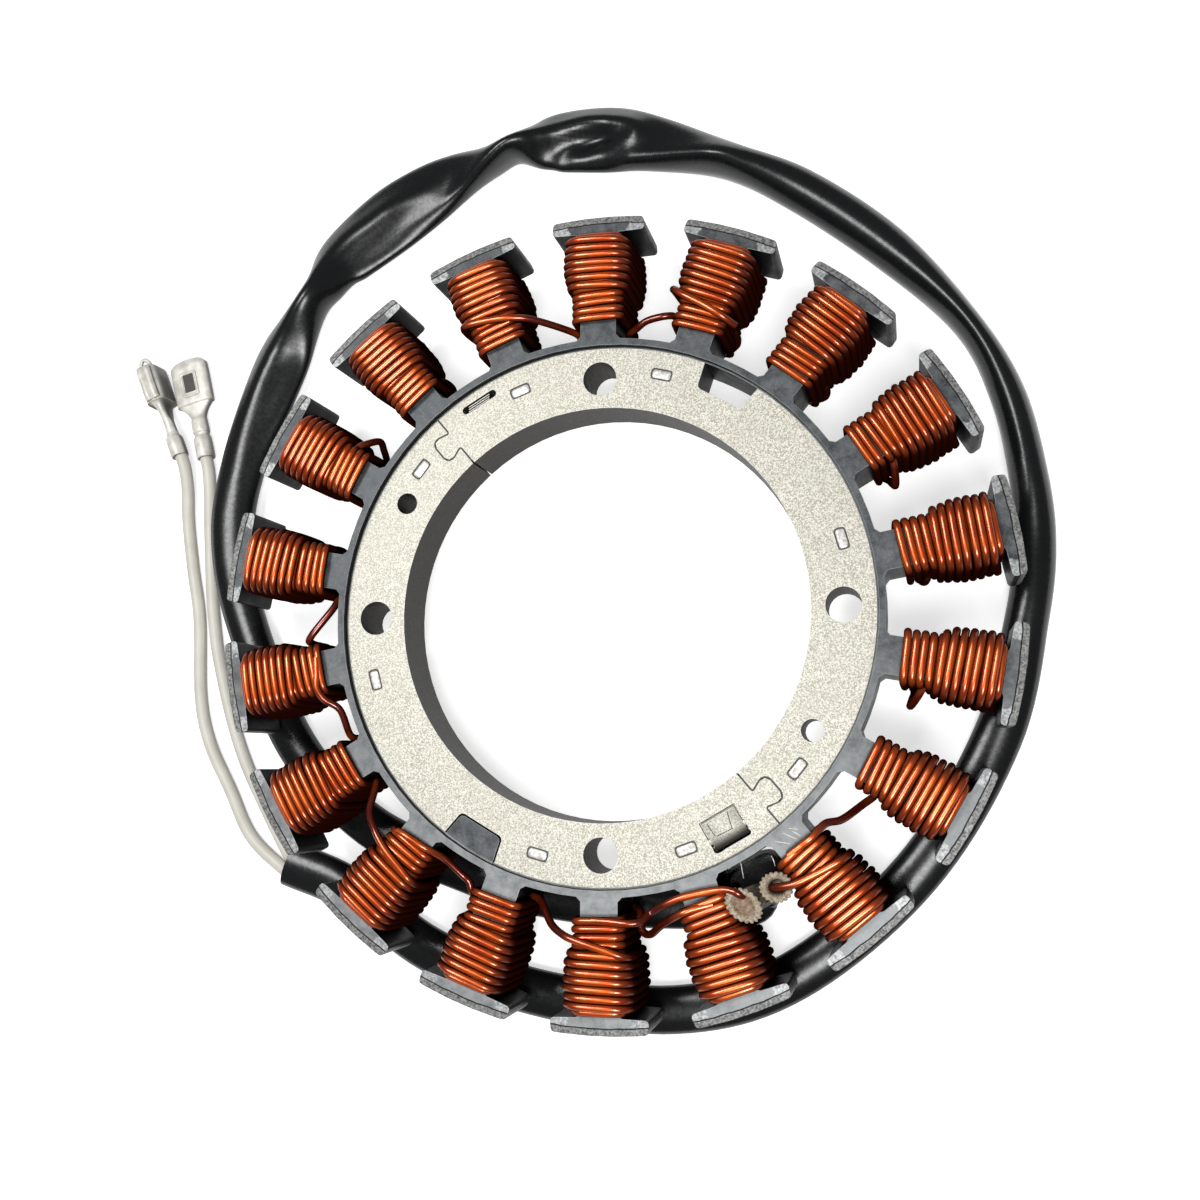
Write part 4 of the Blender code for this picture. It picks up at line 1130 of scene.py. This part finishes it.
def sleeve_section(centre, side, over, width, thickness, lean):
    """Points round the flattened tube, with its crest leaning outward or inward."""
    loop = []
    half_width, half_thickness = width / 2, thickness / 2
    power = MOUTH_POWER if centre.z > MOUTH_FROM else 1.0
    for step in range(SLEEVE_SIDES):
        turn = tau * step / SLEEVE_SIDES
        across = copysign(abs(cos(turn)) ** power, cos(turn)) * half_width
        rise = copysign(abs(sin(turn)) ** power, sin(turn))
        inside = max(0.0, rise) * (1 - abs(across) / half_width) ** CREST_POWER
        shear = lean * CREST_SHEAR * half_width * inside
        loop.append(centre + side * (across + shear) + over * rise * half_thickness)
    return loop


def shaped(point, ridges):
    """The point, moved up along the sleeve's ridges and down in its dents."""
    top = min(max((point.z - TABLE - RELIEF_FROM) / RELIEF_RISE, 0.0), 1.0)
    if point.y < RELIEF_BEYOND or not top:
        return point
    moved = point.copy()
    for (height, half_width), line in ridges:
        gap, nearest = min(((point.xy - near.xy).length, step) for step, near in enumerate(line))
        share = nearest / len(line)
        fade = min(1.0, share * 4, (1 - share) * 4)
        moved.z += top * fade * height / 1000 * exp(-((gap * 1000 / half_width) ** 2))
    for x, y, half_length, half_width, depth, heading in SLEEVE_DENTS:
        turn = radians(heading)
        gap = Vector((point.x * 1000 - x, point.y * 1000 - y))
        along = (gap.x * cos(turn) + gap.y * sin(turn)) / half_length
        across = (gap.y * cos(turn) - gap.x * sin(turn)) / half_width
        moved.z -= top * depth / 1000 * exp(-(along**4) - across**2)
    return moved


def sleeve(vinyl):
    """The vinyl tube, flattened where it lies on a side, and on its edge where it bends."""
    stations = [(x, y, z, width, thick, 0.0) for x, y, z, width, thick in SLEEVE_RISE]
    table = TABLE * 1000
    for x, y, width, thick, lean in SLEEVE_ROUTE:
        stations.append((x, y, table + thick / 2, width, thick, lean))
    route = [Vector(station[:3]) / 1000 for station in stations]
    shapes = [Vector((width, thick, lean)) for *_, width, thick, lean in stations]
    path = curve(route, steps=10)
    shapes = curve(shapes, steps=10)
    ridges = []
    for sizes, *points in SLEEVE_RIDGES:
        line = curve([Vector((x / 1000, y / 1000, 0)) for x, y in points], steps=8)
        ridges.append((sizes, line))
    loops = []
    side = spot(SPLICE_ANGLE, 0, 1)
    for index, point in enumerate(path):
        along = chord(path, index).normalized()
        outward = UP.cross(along)
        if outward.length > 0.5:
            side = outward
        side = (side - along * side.dot(along)).normalized()
        over = along.cross(side).normalized()
        width, thickness, lean = shapes[index]
        loop = sleeve_section(point, side, over, width / 1000, thickness / 1000, lean)
        loops.append([shaped(corner, ridges) for corner in loop])
    loops = [*inner_wall(loops, 0, -1), *loops, *reversed(inner_wall(loops, -1, 1))]
    piece = skin("sleeve_tube", loops, vinyl)
    place(piece, "black_vinyl", "lead_sleeve")


def inner_wall(loops, end, inward):
    """Loops that turn the tube's end in on itself: the deepest one first."""
    mouth = loops[end]
    centre = sum(mouth, Vector()) / len(mouth)
    walls = []
    for depth in WALL_DEPTHS:
        other = loops[end - inward * depth]
        middle = sum(other, Vector()) / len(other)
        walls.append([corner + (middle - corner).normalized() * SLEEVE_WALL for corner in other])
    walls.append([corner + (centre - corner).normalized() * SLEEVE_WALL for corner in mouth])
    return walls


def lead(name, route, pieces, insulation):
    points = in_metres(route)
    path = evenly(curve(points, steps=8), LEAD_SPACING)
    piece = tube(name + "_wire", path, LEAD_RADIUS, insulation, sides=14)
    place(piece, "lead_insulation", name)


# Stage


def camera():
    data = bpy.data.cameras.new("camera")
    data.sensor_width = 36
    data.lens = CAMERA_LENS
    data.clip_start = 0.01
    data.clip_end = 10
    obj = bpy.data.objects.new("camera", data)
    turn = Matrix((CAMERA_RIGHT, CAMERA_UP, CAMERA_BACK)).transposed().to_4x4()
    obj.matrix_world = Matrix.Translation(CAMERA_PLACE) @ turn
    bpy.context.scene.collection.objects.link(obj)
    bpy.context.scene.camera = obj


def area_light(name, stand, side, power):
    """A square lamp that looks at the stator's middle."""
    data = bpy.data.lights.new(name, "AREA")
    data.shape = "RECTANGLE"
    data.size = data.size_y = side
    data.energy = power
    obj = bpy.data.objects.new(name, data)
    turn = (-Vector(stand)).to_track_quat("-Z", "Y").to_matrix().to_4x4()
    obj.matrix_world = Matrix.Translation(stand) @ turn
    bpy.context.scene.collection.objects.link(obj)


def floor():
    """A pale floor that eyes and reflections see as white, with a soft shadow on it."""
    paint = Paint("floor")
    path = paint.node("LightPath")
    seen = paint.node("BsdfDiffuse", (0.80, 0.80, 0.80))
    glow = paint.node("Emission", (1, 1, 1), 0.68)
    both = paint.node("AddShader", seen.outputs[0], glow.outputs[0])
    dark = paint.node("BsdfDiffuse", (0.10, 0.10, 0.10))
    straight = path.outputs["Is Camera Ray"]
    for kind in ("Is Glossy Ray", "Is Transmission Ray"):
        straight = paint.math("MAXIMUM", straight, path.outputs[kind])
    chosen = paint.node("MixShader", straight, dark.outputs[0], both.outputs[0])
    paint.feed(paint.tree.nodes["Material Output"].inputs["Surface"], chosen.outputs[0])
    bpy.ops.mesh.primitive_plane_add(size=6, location=(0, 0, TABLE - 0.00005))
    plane = bpy.context.object
    plane.name = "floor"
    plane.data.materials.append(paint.material)


def stage():
    scene = bpy.context.scene
    scene.view_settings.view_transform = "Standard"
    world = bpy.data.worlds.new("world")
    world.use_nodes = True
    background = world.node_tree.nodes["Background"].inputs
    background["Color"].default_value = (0.75, 0.76, 0.78, 1)
    background["Strength"].default_value = 0.20
    scene.world = world
    area_light("key", (0.08, -0.16, 0.42), side=0.14, power=1.22)
    area_light("main", (-0.18, 0.10, 0.42), side=0.15, power=1.02)
    floor()


def main():
    camera()
    stage()
    steel = ring_steel()
    coating = core_coating()
    copper = copper_enamel()
    vinyl = black_vinyl()
    insulation = lead_insulation()
    braid = mottled("glass_braid")
    tin = terminal_tin()
    fill = mottled("joint_fill")
    shade = mottled("mark_shade")
    finishes = {"core_ring_half_a": steel, "core_ring_half_b": steel, "toothed_core": coating}
    for name, material in finishes.items():
        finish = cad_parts[name].data.materials
        finish.clear()
        finish.append(material)
    sleeve(vinyl)
    lead("lead_outer", OUTER_LEAD_ROUTE, edged_terminal(tin), insulation)
    lead("lead_inner", INNER_LEAD_ROUTE, flat_terminal(tin, shade), insulation)
    coils(copper)
    wires(copper)
    splice("splice_sleeve_1", braid, fill)
    splice("splice_sleeve_2", braid)
    bright = mottled("pressed_steel")
    interlock_marks(bright, shade)
    details(bright)
    seams(shade)
    core_seam(coating)
    flap(flap_steel(), shade)
    slot_strips(steel)


main()
